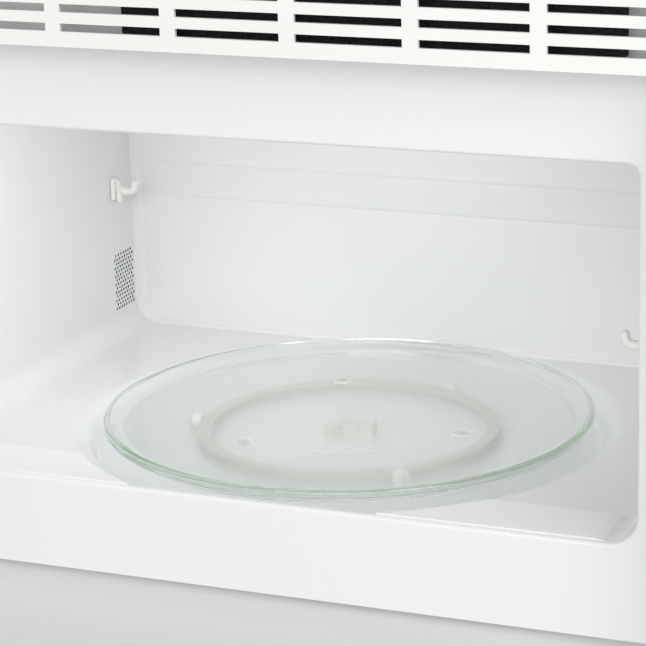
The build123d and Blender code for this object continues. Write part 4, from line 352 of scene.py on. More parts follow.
def perforated_steel():
    """White enamelled steel door panel; holes 1.5 mm across stand 2.2 mm apart in the window.

    The field of holes is a triangular lattice: two lattices of rectangles, one of them shifted by
    half a cell both ways.
    """
    material, shader, place = finish("perforated_enamelled_steel", "ECEEEE", 0.32)
    parts = add(material, "ShaderNodeSeparateXYZ", {"Vector": place}).outputs
    nearest = []
    for shift in (0.0, 0.5):
        squares = []
        for axis, step in (("Y", HOLE_PITCH * MM), ("Z", HOLE_PITCH * MM * math.sqrt(3))):
            cell = {0: parts[axis], 1: 1 / step}
            cell = add(material, "ShaderNodeMath", cell, operation="MULTIPLY")
            cell = add(material, "ShaderNodeMath", {0: cell.outputs[0], 1: shift}, operation="ADD")
            away = add(material, "ShaderNodeMath", {0: cell.outputs[0]}, operation="FRACT")
            away = {0: away.outputs[0], 1: 0.5}
            away = add(material, "ShaderNodeMath", away, operation="SUBTRACT")
            away = {0: away.outputs[0], 1: step}
            away = add(material, "ShaderNodeMath", away, operation="MULTIPLY")
            away = {0: away.outputs[0], 1: 2.0}
            squares.append(add(material, "ShaderNodeMath", away, operation="POWER").outputs[0])
        both = {0: squares[0], 1: squares[1]}
        nearest.append(add(material, "ShaderNodeMath", both, operation="ADD").outputs[0])
    closest = {0: nearest[0], 1: nearest[1]}
    closest = add(material, "ShaderNodeMath", closest, operation="MINIMUM")
    radius = add(material, "ShaderNodeMath", {0: closest.outputs[0]}, operation="SQRT")
    edge = {"From Min": (HOLE_R + HOLE_BLEND) * MM, "From Max": (HOLE_R - HOLE_BLEND) * MM}
    inside = add(material, "ShaderNodeMapRange", {"Value": radius.outputs[0], **edge})
    inside = inside.outputs["Result"]
    window = (("Y", WINDOW_Y, WINDOW_HALF_WIDTH), ("Z", WINDOW_Z, WINDOW_HALF_HEIGHT))
    for axis, middle, half in window:
        reach = {0: parts[axis], 1: middle * MM}
        reach = add(material, "ShaderNodeMath", reach, operation="SUBTRACT")
        reach = add(material, "ShaderNodeMath", {0: reach.outputs[0]}, operation="ABSOLUTE")
        within = {0: reach.outputs[0], 1: half * MM}
        within = add(material, "ShaderNodeMath", within, operation="LESS_THAN")
        inside = {0: inside, 1: within.outputs[0]}
        inside = add(material, "ShaderNodeMath", inside, operation="MULTIPLY").outputs[0]
    tone = {"Fac": inside, "Color1": "ECEEEE", "Color2": "141516"}
    tone = add(material, "ShaderNodeMixRGB", tone)
    plug(material, shader.inputs["Base Color"], tone.outputs["Color"])
    return material


def expanded_aluminium():
    """Layers of expanded aluminium mesh, pressed flat: 6 by 3 mm diamonds over painted-shade gaps.
    """
    material, shader, place = finish("expanded_aluminium_mesh", "C3C6C8", 0.35, {"Metallic": 1.0})
    squeezed = {"Vector": place, "Scale": (1 / 6.0, 1 / 3.2, 1 / 6.0)}
    squeezed = add(material, "ShaderNodeMapping", squeezed)
    cells = {"Vector": squeezed.outputs["Vector"], "Scale": 1 / MM, "Randomness": 0.55}
    cells = add(material, "ShaderNodeTexVoronoi", cells, feature="DISTANCE_TO_EDGE")
    gap = {"Value": cells.outputs["Distance"], "From Min": 0.12, "From Max": 0.3}
    gap = add(material, "ShaderNodeMapRange", gap).outputs["Result"]
    # Painted shade: the gaps between the diamonds are painted dark grey.
    tone = {"Fac": gap, "Color1": "DDE0E1", "Color2": "6A6E70"}
    tone = add(material, "ShaderNodeMixRGB", tone)
    plug(material, shader.inputs["Base Color"], tone.outputs["Color"])
    relief = {"Height": gap, "Strength": 0.8, "Distance": 0.8 * MM}
    relief = add(material, "ShaderNodeBump", relief, invert=True)
    plug(material, shader.inputs["Normal"], relief.outputs["Normal"])
    return material


def brushed_metal(name, base, roughness):
    """Rolled or turned metal with fine lines along X."""
    material, shader, place = finish(name, base, roughness, {"Metallic": 1.0})
    drawn = add(material, "ShaderNodeMapping", {"Vector": place, "Scale": (0.04, 1.0, 1.0)})
    lines = {"Vector": drawn.outputs["Vector"], "Scale": 1 / (0.8 * MM), "Detail": 2.0}
    lines = add(material, "ShaderNodeTexNoise", lines).outputs["Fac"]
    shine = {"Value": lines, "To Min": roughness - 0.08, "To Max": roughness + 0.1}
    shine = add(material, "ShaderNodeMapRange", shine)
    plug(material, shader.inputs["Roughness"], shine.outputs["Result"])
    relief = {"Height": lines, "Strength": 0.3, "Distance": 0.03 * MM}
    relief = add(material, "ShaderNodeBump", relief)
    plug(material, shader.inputs["Normal"], relief.outputs["Normal"])
    return material


def charcoal_foam():
    """Open-cell foam loaded with carbon: black, pores 2.5 mm across painted darker as painted
    shade.
    """
    material, shader, place = finish("carbon_foam", "17181A", 0.9)
    pores = {"Vector": place, "Scale": 1 / (2.5 * MM)}
    pores = add(material, "ShaderNodeTexVoronoi", pores).outputs["Distance"]
    # Painted shade: the pits of the pores are painted darker than the cell walls.
    tone = {"Fac": pores, "Color1": "08090A", "Color2": "2A2B2D"}
    tone = add(material, "ShaderNodeMixRGB", tone)
    plug(material, shader.inputs["Base Color"], tone.outputs["Color"])
    relief = {"Height": pores, "Strength": 1.0, "Distance": 1.2 * MM}
    relief = add(material, "ShaderNodeBump", relief)
    plug(material, shader.inputs["Normal"], relief.outputs["Normal"])
    return material


def mica_board():
    """Pressed mica flakes in resin: pearly brown-grey with flakes 3 to 6 mm across."""
    material, shader, place = finish("pressed_mica_board", "CFC5B2", 0.4)
    flakes = {"Vector": place, "Scale": 1 / (5 * MM)}
    flakes = add(material, "ShaderNodeTexVoronoi", flakes)
    tone = {"Fac": flakes.outputs["Color"], "Color1": "C2B7A2", "Color2": "DAD2C2"}
    tone = add(material, "ShaderNodeMixRGB", tone)
    plug(material, shader.inputs["Base Color"], tone.outputs["Color"])
    grain(material, shader, place, 5.0, 0.05)
    return material


def circuit_board():
    """Green solder mask on glass epoxy: fields of 2.5 by 1.25 mm between paler tracks."""
    material, shader, place = finish("solder_masked_board", "1F5A38", 0.35)
    tracks = {"Vector": place, "Scale": 1 / (5 * MM), "Mortar Size": 0.03}
    tracks.update({"Color1": "1C5233", "Color2": "24633F", "Mortar": "3C8157"})
    tracks = add(material, "ShaderNodeTexBrick", tracks)
    plug(material, shader.inputs["Base Color"], tracks.outputs["Color"])
    return material


def wound_copper():
    """Varnished laminations and enamelled copper: dark brown stacks with lines 1 mm apart."""
    metal = {"Metallic": 0.4}
    material, shader, place = finish("varnished_iron_and_copper", "5A4234", 0.45, metal)
    layers = {"Vector": place, "Scale": 1 / (3 * MM), "Distortion": 0.4}
    layers = add(material, "ShaderNodeTexWave", layers, bands_direction="Z")
    tone = {"Fac": layers.outputs["Fac"], "Color1": "3B2C24", "Color2": "7A563F"}
    tone = add(material, "ShaderNodeMixRGB", tone)
    plug(material, shader.inputs["Base Color"], tone.outputs["Color"])
    grain(material, shader, place, 1.0, 0.04)
    return material


def frosted_lamp_glass():
    """Pressed lamp glass, frosted inside: milky, with soft prisms 6 mm apart."""
    sockets = {"Transmission Weight": 0.12, "IOR": 1.5}
    material, shader, place = finish("frosted_lamp_glass", "F4F3EC", 0.35, sockets)
    prisms = {"Vector": place, "Scale": 1 / (6 * MM), "Randomness": 0.15}
    prisms = add(material, "ShaderNodeTexVoronoi", prisms)
    relief = {"Height": prisms.outputs["Distance"], "Strength": 0.6, "Distance": 0.8 * MM}
    relief = add(material, "ShaderNodeBump", relief)
    plug(material, shader.inputs["Normal"], relief.outputs["Normal"])
    return material


def keypad_film():
    """Matt printed polyester film over the membrane keys."""
    material, shader, place = finish("printed_polyester_film", "E3E5E6", 0.5)
    clouding(material, shader, place, "E5E7E8", "E1E3E4", 60)
    grain(material, shader, place, 0.8, 0.01)
    return material


def display_plastic():
    """Tinted acrylic over the dark display."""
    gloss = {"Coat Weight": 0.6, "Coat Roughness": 0.03}
    material, shader, place = finish("tinted_acrylic_lens", "0D1113", 0.08, gloss)
    clouding(material, shader, place, "0E1315", "0B0E10", 30)
    return material


def screen_ink():
    """Screen-printed ink of the key numbers: matt dark grey."""
    material, shader, place = finish("screen_printed_ink", "4A4E52", 0.6)
    clouding(material, shader, place, "4C5054", "464A4E", 4)
    return material


def lit_segment():
    """Vacuum fluorescent segment behind its filter: a soft blue-green glow."""
    glow = {"Emission Color": "8FE0D2", "Emission Strength": 0.8}
    material, shader, place = finish("fluorescent_segment", "9FE6DA", 0.5, glow)
    grain(material, shader, place, 1.0, 0.01)
    return material


def key_dome():
    """Embossed key of polyester film, white and satin, glossier than the panel round it."""
    gloss = {"Coat Weight": 0.2, "Coat Roughness": 0.1}
    material, shader, place = finish("embossed_key_film", "F3F4F4", 0.35, gloss)
    clouding(material, shader, place, "F4F5F5", "F1F2F2", 30)
    grain(material, shader, place, 0.8, 0.006)
    return material


ENAMEL = oven_enamel()
NYLON = ivory_nylon()
DISH_GLASS = turntable_soda_glass()
SPRING = brushed_metal("hard_drawn_spring_wire", "A9ACAE", 0.28)

NODE_FINISH = {
    powder_coated_steel(): ("base_plate", "front_frame"),
    cabinet_paint(): ("cabinet_wrap",),
    ENAMEL: ("cavity_floor", "cavity_wrap", "cavity_back"),
    galvanised_sheet(): (
        "mounting_plate",
        "back_panel",
        "turntable_motor",
        "hinge_brackets",
        "lamp_housing",
        "exhaust_adapter",
        "blower_motor",
        "blower_housings",
        "compartment_shelf",
        "waveguide",
        "fan_motor",
        "cavity_lamp_housing",
    ),
    white_abs(): ("door_frame", "choke_cover", "door_handle", "control_panel", "vent_grille"),
    NYLON: ("rack_supports",),
    plain_plastic("natural_acetal_moulding", "E6E6DE", "DCDCD2", 0.42, 1.2): (
        "drive_hub",
        "motor_shaft",
        "latch_hooks",
        "fan_shroud",
        "fan_rotor",
        "switch_plunger_1",
        "switch_plunger_2",
    ),
    plain_plastic("glass_filled_ring_moulding", "D3D1C8", "CAC8BF", 0.46, 1.2): ("roller_ring",),
    plain_plastic("white_acetal_moulding", "F1F1EC", "ECECE6", 0.36, 1.0): (
        "roller_wheel_1",
        "roller_wheel_2",
        "roller_wheel_3",
    ),
    plain_plastic("grey_polyester_moulding", "74777A", "696C6F", 0.5, 1.2): ("interlock_bracket",),
    plain_plastic("black_polyester_moulding", "1B1C1D", "141516", 0.45, 1.2): (
        "interlock_switches",
        "blower_wheels",
        "cord_gland",
    ),
    DISH_GLASS: ("turntable_glass",),
    smoked_glass(): ("door_glass",),
    clear_polyester(): ("inner_window",),
    perforated_steel(): ("choke_panel",),
    expanded_aluminium(): ("grease_filter_left", "grease_filter_right"),
    brushed_metal("rolled_aluminium", "C9CCCE", 0.34): (
        "damper_flap",
        "magnetron",
        "power_capacitor",
    ),
    brushed_metal("zinc_plated_screw_steel", "BFC2C4", 0.3): ("base_screws", "handle_screws"),
    SPRING: ("latch_spring",),
    charcoal_foam(): ("charcoal_filter",),
    mica_board(): ("waveguide_cover",),
    circuit_board(): ("control_board",),
    wound_copper(): ("power_transformer",),
    frosted_lamp_glass(): ("lamp_cover", "cooktop_lamps", "cavity_lamp"),
    keypad_film(): ("keypad",),
    display_plastic(): ("display_lens",),
}

for material, nodes in NODE_FINISH.items():
    for node in nodes:
        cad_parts[node].material_slots[0].material = material

# ---------------------------------------------------------------- meshes


def sheet_of(points, round_rows=False, round_columns=False):
    """Vertices and faces of a grid of points; a round direction joins its two end lines."""
    rows, columns = points.shape[:2]
    index = np.arange(rows * columns).reshape(rows, columns)
    if round_rows:
        index = np.vstack([index, index[:1]])
    if round_columns:
        index = np.hstack([index, index[:, :1]])
    corners = (index[:-1, :-1], index[1:, :-1], index[1:, 1:], index[:-1, 1:])
    return points.reshape(-1, 3), np.stack(corners, -1).reshape(-1, 4)


def new_piece(name, body, material, vertices, faces, replaced):
    """One flat-shaded object from points in millimetres: doubles merged and faces outwards."""
    mesh = bpy.data.meshes.new(name)
    mesh.from_pydata((vertices * MM).tolist(), [], faces)
    shape = bmesh.new()
    shape.from_mesh(mesh)
    bmesh.ops.remove_doubles(shape, verts=shape.verts, dist=1e-7)
    bmesh.ops.recalc_face_normals(shape, faces=shape.faces)
    shape.to_mesh(mesh)
    shape.free()
    mesh.materials.append(material)
    piece = bpy.data.objects.new(name, mesh)
    bpy.context.scene.collection.objects.link(piece)
    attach(piece, body)
    if replaced:
        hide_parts(*replaced)
    return piece


def smooth_piece(name, body, material, sheets, replaced, sharp=40.0):
    """One smooth object from several sheets; edges that turn by more than sharp stay crisp."""
    starts = np.cumsum([0] + [len(points) for points, _ in sheets])
    vertices = np.concatenate([points for points, _ in sheets])
    faces = np.concatenate([corners + start for (_, corners), start in zip(sheets, starts)])
    piece = new_piece(name, body, material, vertices, faces.tolist(), replaced)
    piece.data.shade_smooth()
    piece.data.set_sharp_from_angle(angle=math.radians(sharp))
    return piece


def rounded_path(corners, radii, steps):
    """Polyline through 2-D corners with an arc of the given radius at each inner corner.

    The arc touches both sides at radius times tan(half the turn) from the corner.
    """
    corners = [np.array(corner, float) for corner in corners]
    points = [corners[0]]
    for before, corner, after, radius in zip(corners, corners[1:], corners[2:], radii):
        into = (corner - before) / np.linalg.norm(corner - before)
        out = (after - corner) / np.linalg.norm(after - corner)
        turn = math.acos(into @ out)
        side = np.array([-into[1], into[0]])
        side = side if side @ out > 0 else -side
        centre = corner - into * radius * math.tan(turn / 2) + side * radius
        angles = np.linspace(0, turn, steps + 1)[:, None]
        points.extend(centre + radius * (np.sin(angles) * into - np.cos(angles) * side))
    points.append(corners[-1])
    return np.array(points)


def smooth(value, low, high):
    """0 up to low, 1 from high on, and 3t^2 - 2t^3 between them; low may be the larger."""
    t = np.clip((value - low) / (high - low), 0, 1)
    return t * t * (3 - 2 * t)


def superellipse(angle, exponent):
    """The cosine and sine of the angle, each with its size raised to the exponent."""
    a, b = np.cos(angle), np.sin(angle)
    return np.sign(a) * np.abs(a) ** exponent, np.sign(b) * np.abs(b) ** exponent


def graded(start, *stops):
    """Grid lines from start on through (place, spacing) stops, each at most that spacing apart."""
    lines = [np.array([start])]
    for place, spacing in stops:
        count = max(1, round(abs(place - start) / spacing))
        lines.append(np.linspace(start, place, count + 1)[1:])
        start = place
    return np.concatenate(lines)


# ---------------------------------------------------------------- turntable glass

RIM_WIDTH, RIM_SLOPE, RIM_DEPTH = 4.5, 7.5, 5.4  # top of the bead, slope inside it, its outer face
BUMP_R, BUMP_SIZE, BUMP_RISE = 87.0, 8.5, 1.6
BUMP_TURN = -5  # degrees from the right to the first bump
RIM_TOP_BENDS = (8.5, 2.6, 1.9)  # radii of the rim's bends: out of the plate, onto the bead, off it
RIM_LOW_BENDS = (1.5, 9.0)  # and below: under the bead, into the plate
DISH_RINGS, DISH_SEGMENTS = 70, 360


def turntable_dish():
    """The pressed glass: a flat plate, a rim that sweeps up to a rounded bead, and three bumps.

    The profile is turned round the axis; a bump adds rise * (1 - (d / size)^2)^2 to the top at the
    distance d from its centre.
    """
    slope_in = GLASS_R - RIM_WIDTH - RIM_SLOPE
    bead = (GLASS_R, RIM_Z - RIM_DEPTH + 2)
    top = [(0, PLATE_TOP), (slope_in, PLATE_TOP), (GLASS_R - RIM_WIDTH, RIM_Z), (GLASS_R, RIM_Z)]
    top = rounded_path([*top, bead], RIM_TOP_BENDS, 10)
    low = [bead, (GLASS_R - 0.6, RIM_Z - RIM_DEPTH), (slope_in + 2, GLASS_LOW), (0, GLASS_LOW)]
    low = rounded_path(low, RIM_LOW_BENDS, 10)
    flat = np.linspace(0, slope_in - 6, DISH_RINGS)[1:-1]
    on_top = np.stack([flat, np.full_like(flat, PLATE_TOP)], -1)
    profile = np.vstack([top[:1], on_top, top[1:], low[1:]])
    radius, height = profile[None, :, 0], profile[None, :, 1]
    angles = np.linspace(0, math.tau, DISH_SEGMENTS, endpoint=False)[:, None]
    points = [radius * np.cos(angles), radius * np.sin(angles), height + 0 * angles]
    points = np.stack(points, -1)
    upper = points[:, : len(on_top) + 1]
    for index in range(3):
        angle = math.radians(BUMP_TURN + 120 * index)
        centre = np.array([BUMP_R * math.cos(angle), BUMP_R * math.sin(angle)])
        away = np.linalg.norm(upper[..., :2] - centre, axis=-1) / BUMP_SIZE
        upper[..., 2] += BUMP_RISE * np.clip(1 - away**2, 0, 1) ** 2
    points += np.array([TURN_X, TURN_Y, 0.0])
    sheets, replaced = [sheet_of(points, round_rows=True)], ["turntable_glass"]
    smooth_piece("turntable_dish", "turntable", DISH_GLASS, sheets, replaced)


turntable_dish()

# ---------------------------------------------------------------- cavity

BACK_CORNER_R = 9.0
BACK_PRESS_RAMP = 3.4
FINE, FINEST = 0.6, 0.35  # grid spacing along the pressed edges and across the creases
CREASE_STEPS, CREASE_RAMP, CREASE_FADE = (3.2, 2.8), 0.9, 4.5  # depths of the lower and the upper
STEP_GROWTH, RAMP_GROWTH = 1.0, 0.7  # what the upper crease gains towards the right
GROWTH_START, GROWTH_END = 190.0, 70.0  # from the left wall, and short of the right one
CREASE_REACH = (3.0, 26.0)  # distance inside the panel's edge over which the creases begin
LIP_PLACES, LIP_WIDTH, LIP_RISE = (2.2, -3.4), 0.7, 0.5


def cavity_sheet(name, front, replaced):
    """A sheet LINER thick from its visible face: the wall grows away from that face."""
    sheets = [sheet_of(front[::-1])]
    piece = smooth_piece(name, "cabinet", ENAMEL, sheets, replaced)
    wall = piece.modifiers.new("wall", "SOLIDIFY")
    wall.thickness, wall.offset = LINER * MM, -1.0


def pressed_back_wall():
    """The cavity's back wall, one pressed sheet.

    Over x and z its depth is the plane LINER_BACK_Y plus BACK_PRESS times a window: smooth steps in
    from the sides and the foot, with round lower corners from the distance to a rounded rectangle,
    and a straight slope between the two creases. At each crease the sheet steps back over a steep
    ramp, smooth(below, -ramp, ramp), and comes forward again as exp(-below / CREASE_FADE). The
    upper step grows deeper and wider to the right, where a low lip stands proud along both edges.
    """
    crease_low, crease_high = FLOOR_Z + BACK_CREASE_LOW, FLOOR_Z + BACK_CREASE_HIGH
    x = graded(
        CAVITY_LEFT - LINER,
        (CAVITY_LEFT + 16, FINE),
        (CAVITY_RIGHT - 16, 24.0),
        (CAVITY_RIGHT + LINER, FINE),
    )
    z = graded(
        FLOOR_Z - LINER,
        (FLOOR_Z + 16, FINE),
        (crease_low - 4, 16.0),
        (crease_low + 4, FINEST),
        (crease_high - 6, 3.0),
        (crease_high + 6, FINEST),
        (CEILING_Z + LINER, 20.0),
    )
    across, up = np.meshgrid(x, z, indexing="ij")
    half = (CAVITY_RIGHT - CAVITY_LEFT) / 2 - BACK_PRESS_EDGE
    out_x = np.abs(across - (CAVITY_LEFT + CAVITY_RIGHT) / 2) - (half - BACK_CORNER_R)
    out_z = (FLOOR_Z + 1.0 + BACK_CORNER_R) - up
    outside = np.hypot(np.clip(out_x, 0, None), np.clip(out_z, 0, None)) - BACK_CORNER_R
    outside = np.maximum(outside, np.maximum(out_x, out_z) - BACK_CORNER_R)
    window = smooth(-outside, 0.0, BACK_PRESS_RAMP)
    slope = np.clip((crease_high - up) / (crease_high - crease_low), 0, 1)
    growth = smooth(across, CAVITY_LEFT + GROWTH_START, CAVITY_RIGHT - GROWTH_END)
    grown = CREASE_STEPS[1] + STEP_GROWTH * growth, CREASE_RAMP + RAMP_GROWTH * growth
    creases = (crease_low, CREASE_STEPS[0], CREASE_RAMP), (crease_high, *grown)
    steps = 0
    for crease, size, ramp in creases:
        below = crease - up
        fade = np.exp(-np.clip(below - ramp, 0, None) / CREASE_FADE)
        steps = steps + size * smooth(below, -ramp, ramp) * fade
    lips = [np.exp(-(((up - crease_high - place) / LIP_WIDTH) ** 2)) for place in LIP_PLACES]
    steps = steps - LIP_RISE * growth * sum(lips)
    depth = LINER_BACK_Y + BACK_PRESS * window * slope + smooth(-outside, *CREASE_REACH) * steps
    cavity_sheet("pressed_back_wall", np.stack([across, depth, up], -1), ["cavity_back"])


def recess_back_strip():
    """The lower edge of the back wall, which reaches down behind the turntable's recess."""
    reach = math.sqrt(RECESS_EDGE_R**2 - (LINER_BACK_Y - TURN_Y) ** 2) + LINER
    x = np.linspace(TURN_X - reach, TURN_X + reach, 12)
    z = np.array([RECESS_Z - LINER, FLOOR_Z - LINER])
    across, up = np.meshgrid(x, z, indexing="ij")
    cavity_sheet("recess_back_strip", np.stack([across, 0 * across + LINER_BACK_Y, up], -1), ())


pressed_back_wall()
recess_back_strip()

# ---------------------------------------------------------------- rack hooks

BAR_SEGMENTS, DOME_RINGS = 20, 5
DOME_TIP = 0.02  # share of the section that is left at the last ring of a dome


def capped(points):
    """Sheet of rings joined round; one more ring at each end lies in its middle and closes it."""
    middles = points.mean(1, keepdims=True) + 0 * points
    return sheet_of(np.concatenate([middles[:1], points, middles[-1:]]), round_columns=True)


def swept(path, widths, heights, turn, power=2.6):
    """Closed bar along a path in the (u, v) plane; w is the third direction.

    Its section is a superellipse |a/width|^power + |b/height|^power = 1. Both ends are domed: the
    section shrinks as a quarter circle over the last rings. turn maps (u, v, w) into the frame.
    """
    path = np.asarray(path, float)
    widths = np.broadcast_to(np.asarray(widths, float), len(path))
    heights = np.broadcast_to(np.asarray(heights, float), len(path))
    ahead = np.gradient(path, axis=0)
    ahead /= np.linalg.norm(ahead, axis=1, keepdims=True)
    dome = np.linspace(0, math.pi / 2, DOME_RINGS + 1)[:-1]
    first, last = heights[[0, -1]] * 0.9
    first = path[0] - ahead[0] * first * np.cos(dome)[:, None]
    last = path[-1] + ahead[-1] * last * np.cos(dome[::-1])[:, None]
    rows = np.concatenate([first, path, last])
    ends = np.sin(dome) + DOME_TIP
    scales = np.concatenate([ends, np.ones(len(path)), ends[::-1]])
    ahead = np.pad(ahead, ((DOME_RINGS, DOME_RINGS), (0, 0)), mode="edge")
    widths = np.pad(widths, DOME_RINGS, mode="edge") * scales
    heights = np.pad(heights, DOME_RINGS, mode="edge") * scales
    a, b = superellipse(np.linspace(0, math.tau, BAR_SEGMENTS, endpoint=False), 2 / power)
    side = np.stack([-ahead[:, 1], ahead[:, 0]], -1)
    offset = heights[:, None, None] * b[None, :, None] * side[:, None]
    u = rows[:, None, 0] + offset[..., 0]
    v = rows[:, None, 1] + offset[..., 1]
    return capped(turn(u, v, widths[:, None] * a[None, :]))


def rack_hook(wall, side, row):
    """Sheets of one moulded hook on a side wall: foot plate, rib, bridge over both, round J arm.

    side is +1 where the arm points right. u runs from the wall, v up from the foot, and w along
    the wall.
    """
    foot = FLOOR_Z + SUPPORT_LOW

    def turn(u, v, w):
        return np.stack([wall + side * u, row + w, foot + v], -1)

    plate = swept([(1.9, 2.6), (1.9, 10), (1.9, 17.4)], [4.6, 5.0, 4.8], 1.9, turn, 3.6)
    rib = swept([(6.0, 1.4), (6.1, 9), (5.6, 16.6)], [3.0, 3.2, 3.0], [1.9, 2.0, 1.8], turn, 3.2)
    bridge = swept([(2.0, 17.9), (4.2, 17.5), (6.2, 16.4)], [4.4, 3.8, 3.0], 1.5, turn)
    curve = rounded_path([(5.8, 10.2), (12.0, 8.6), (18.4, 9.2), (20.2, 15.6)], [9, 4.0], 8)
    arm = swept(curve, 3.6, np.linspace(3.3, 2.6, len(curve)), turn, 2.1)
    return [plate, rib, bridge, arm]


def rack_hooks():
    """Four hooks, two on each side wall."""
    sheets = []
    for wall, side in ((CAVITY_LEFT, 1), (CAVITY_RIGHT, -1)):
        for row in SUPPORT_ROWS:
            sheets += rack_hook(wall, side, row)
    smooth_piece("rack_hooks", "cabinet", NYLON, sheets, ["rack_supports"], 60.0)


rack_hooks()

# ---------------------------------------------------------------- latch spring

COIL_STEPS, WIRE_SEGMENTS = 36, 14  # rings in a turn, and points round the wire


def latch_coil():
    """Compression spring over the latch bar, which shortens towards the door frame's ledge in use;
    it is built at one length.

    A circle of the wire's radius is carried along (r cos t, r sin t, rise * t), SPRING_TURNS turns.
    """
    low, high = (np.array(corner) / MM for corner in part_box("latch_spring"))
    centre = (low + high) / 2
    radius = (high[0] - low[0]) / 2 - SPRING_WIRE_R
    rise = (high[2] - low[2] - 2 * SPRING_WIRE_R) / (math.tau * SPRING_TURNS)
    t = np.linspace(0, math.tau * SPRING_TURNS, SPRING_TURNS * COIL_STEPS + 1)[:, None]
    nought = 0 * t
    outward = np.stack([np.cos(t), np.sin(t), nought], -1)
    ahead = np.stack([-radius * np.sin(t), radius * np.cos(t), rise + nought], -1)
    across = np.cross(ahead / math.hypot(radius, rise), outward)
    angle = np.linspace(0, math.tau, WIRE_SEGMENTS, endpoint=False)[None, :, None]
    line = radius * outward + np.stack([nought, nought, rise * t], -1)
    points = line + SPRING_WIRE_R * (np.cos(angle) * outward + np.sin(angle) * across)
    points += np.array([centre[0], centre[1], low[2] + SPRING_WIRE_R])
    sheets, replaced = [capped(points)], ["latch_spring"]
    piece = smooth_piece("latch_coil", "door", SPRING, sheets, replaced, 60.0)
    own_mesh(piece)


latch_coil()

# ---------------------------------------------------------------- control panel

KEYPAD_LOW, KEYPAD_HIGH = (np.array(corner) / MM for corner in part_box("keypad"))
KEYPAD_X, KEYPAD_Y = (KEYPAD_LOW[0] + KEYPAD_HIGH[0]) / 2, KEYPAD_LOW[1]
LENS_LOW, LENS_HIGH = (np.array(corner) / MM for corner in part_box("display_lens"))
DISPLAY_X, DISPLAY_Z = ((LENS_LOW + LENS_HIGH) / 2)[[0, 2]]
DISPLAY_Y = LENS_LOW[1] - 0.05
KEYS_TOP = LENS_LOW[2] - 20.0
KEY_PITCH_X, KEY_PITCH_Z = 43.0, 29.0
FUNCTION_KEY = (18.5, 8.0, 3.0, 0.35)  # half width, half height, corner radius, rise
NUMBER_KEY = (18.5, 10.5, 4.0, 0.4)
WIDE_KEY = (31.82, 13.5, 4.5, 0.45)
KEY_SINK = 0.05  # how far a key's edge lies inside the film
NUMBER_SIZE, NUMBER_WEIGHT, NUMBER_DEPTH = 11.5, 0.1, 0.04
NUMBER_RISE = 0.44  # from the film to the middle of the ink, just above a key's top
SEGMENT_HALF, SEGMENT_TIP, SEGMENT_GAP = 4.2, 0.85, 0.6
SEGMENT_LEAN = 0.08  # sideways for each millimetre of height
DIGIT_PLACES = (-24.0, -10.0, 8.0, 22.0)
DOTS_PLACE, DOT_OFFSET, DOT_LENGTH = -1.0, 2.4, 1.8
SEGMENTS = {"0": "abcdef", "1": "bc", "2": "abged"}
SEGMENT_PLACES = {
    "a": (0, 1, False),
    "b": (0.5, 0.5, True),
    "c": (0.5, -0.5, True),
    "d": (0, -1, False),
    "e": (-0.5, -0.5, True),
    "f": (-0.5, 0.5, True),
    "g": (0, 0, False),
}


def pad(centre, half_x, half_z, corner, rise):
    """Sheet of one embossed key: a rounded rectangle whose top is a flat dome.

    Over r from 0 at the middle to 1 at the edge it stands (rise + KEY_SINK) * (1 - r^8) above its
    edge, which lies inside the film. The outline is a superellipse, and its exponent makes its
    corners about as round as the given radius.
    """
    x, z = centre
    r = np.array([0.0, 0.45, 0.75, 0.88, 0.95, 0.985, 1.0])[:, None]
    angle = np.linspace(0, math.tau, 48, endpoint=False)[None, :]
    across, up = superellipse(angle, 2 / (1 + 1.6 * (min(half_x, half_z) / corner - 1)))
    depth = KEYPAD_Y + KEY_SINK - (rise + KEY_SINK) * (1 - r**8) + 0 * angle
    points = np.stack([x + r * (across * half_x), depth, z + r * (up * half_z)], -1)
    return sheet_of(points, round_columns=True)


def key_places():
    """Centres of the keys: two rows of blank function keys, the numbers, and two wide keys."""
    columns = [KEYPAD_X + step * KEY_PITCH_X for step in (-1, 0, 1)]
    rows = [KEYS_TOP - step * KEY_PITCH_Z for step in range(8)]
    small = [(x, z) for z in rows[:2] for x in columns]
    numbers = [(x, z) for z in rows[2:5] for x in columns] + [(columns[1], rows[5])]
    sides = [(columns[0], rows[5]), (columns[2], rows[5])]
    foot = (rows[6] + rows[7]) / 2 + 4
    wide = [(KEYPAD_X + side * KEY_PITCH_X * 0.75, foot) for side in (-1, 1)]
    return small, numbers, sides, wide


def touch_keys():
    """Every key of the panel as one embossed film."""
    small, numbers, sides, wide = key_places()
    sheets = [pad(place, *FUNCTION_KEY) for place in small]
    sheets += [pad(place, *NUMBER_KEY) for place in numbers + sides]
    sheets += [pad(place, *WIDE_KEY) for place in wide]
    smooth_piece("touch_keys", "cabinet", key_dome(), sheets, (), 60.0)


def key_numbers():
    """The printed numbers 1 to 9 and 0: each is made a mesh and turned into the panel's plane."""
    _, numbers, _, _ = key_places()
    vertices, faces = [], []
    for digit, (x, z) in zip("1234567890", numbers):
        text = bpy.data.curves.new("number", "FONT")
        text.body, text.size, text.offset = digit, NUMBER_SIZE, NUMBER_WEIGHT
        text.extrude = NUMBER_DEPTH
        text.align_x, text.align_y = "CENTER", "CENTER"
        holder = bpy.data.objects.new("number", text)
        mesh = bpy.data.meshes.new_from_object(holder)
        flat = np.empty(len(mesh.vertices) * 3)
        mesh.vertices.foreach_get("co", flat)
        across, up, out = flat.reshape(-1, 3).T
        start = sum(len(part) for part in vertices)
        faces += [tuple(start + index for index in face.vertices) for face in mesh.polygons]
        vertices.append(np.stack([x + across, KEYPAD_Y - NUMBER_RISE - out, z + up], -1))
        bpy.data.objects.remove(holder)
        bpy.data.meshes.remove(mesh)
    vertices = np.vstack(vertices)
    new_piece("key_numbers", "cabinet", screen_ink(), vertices, faces, ())


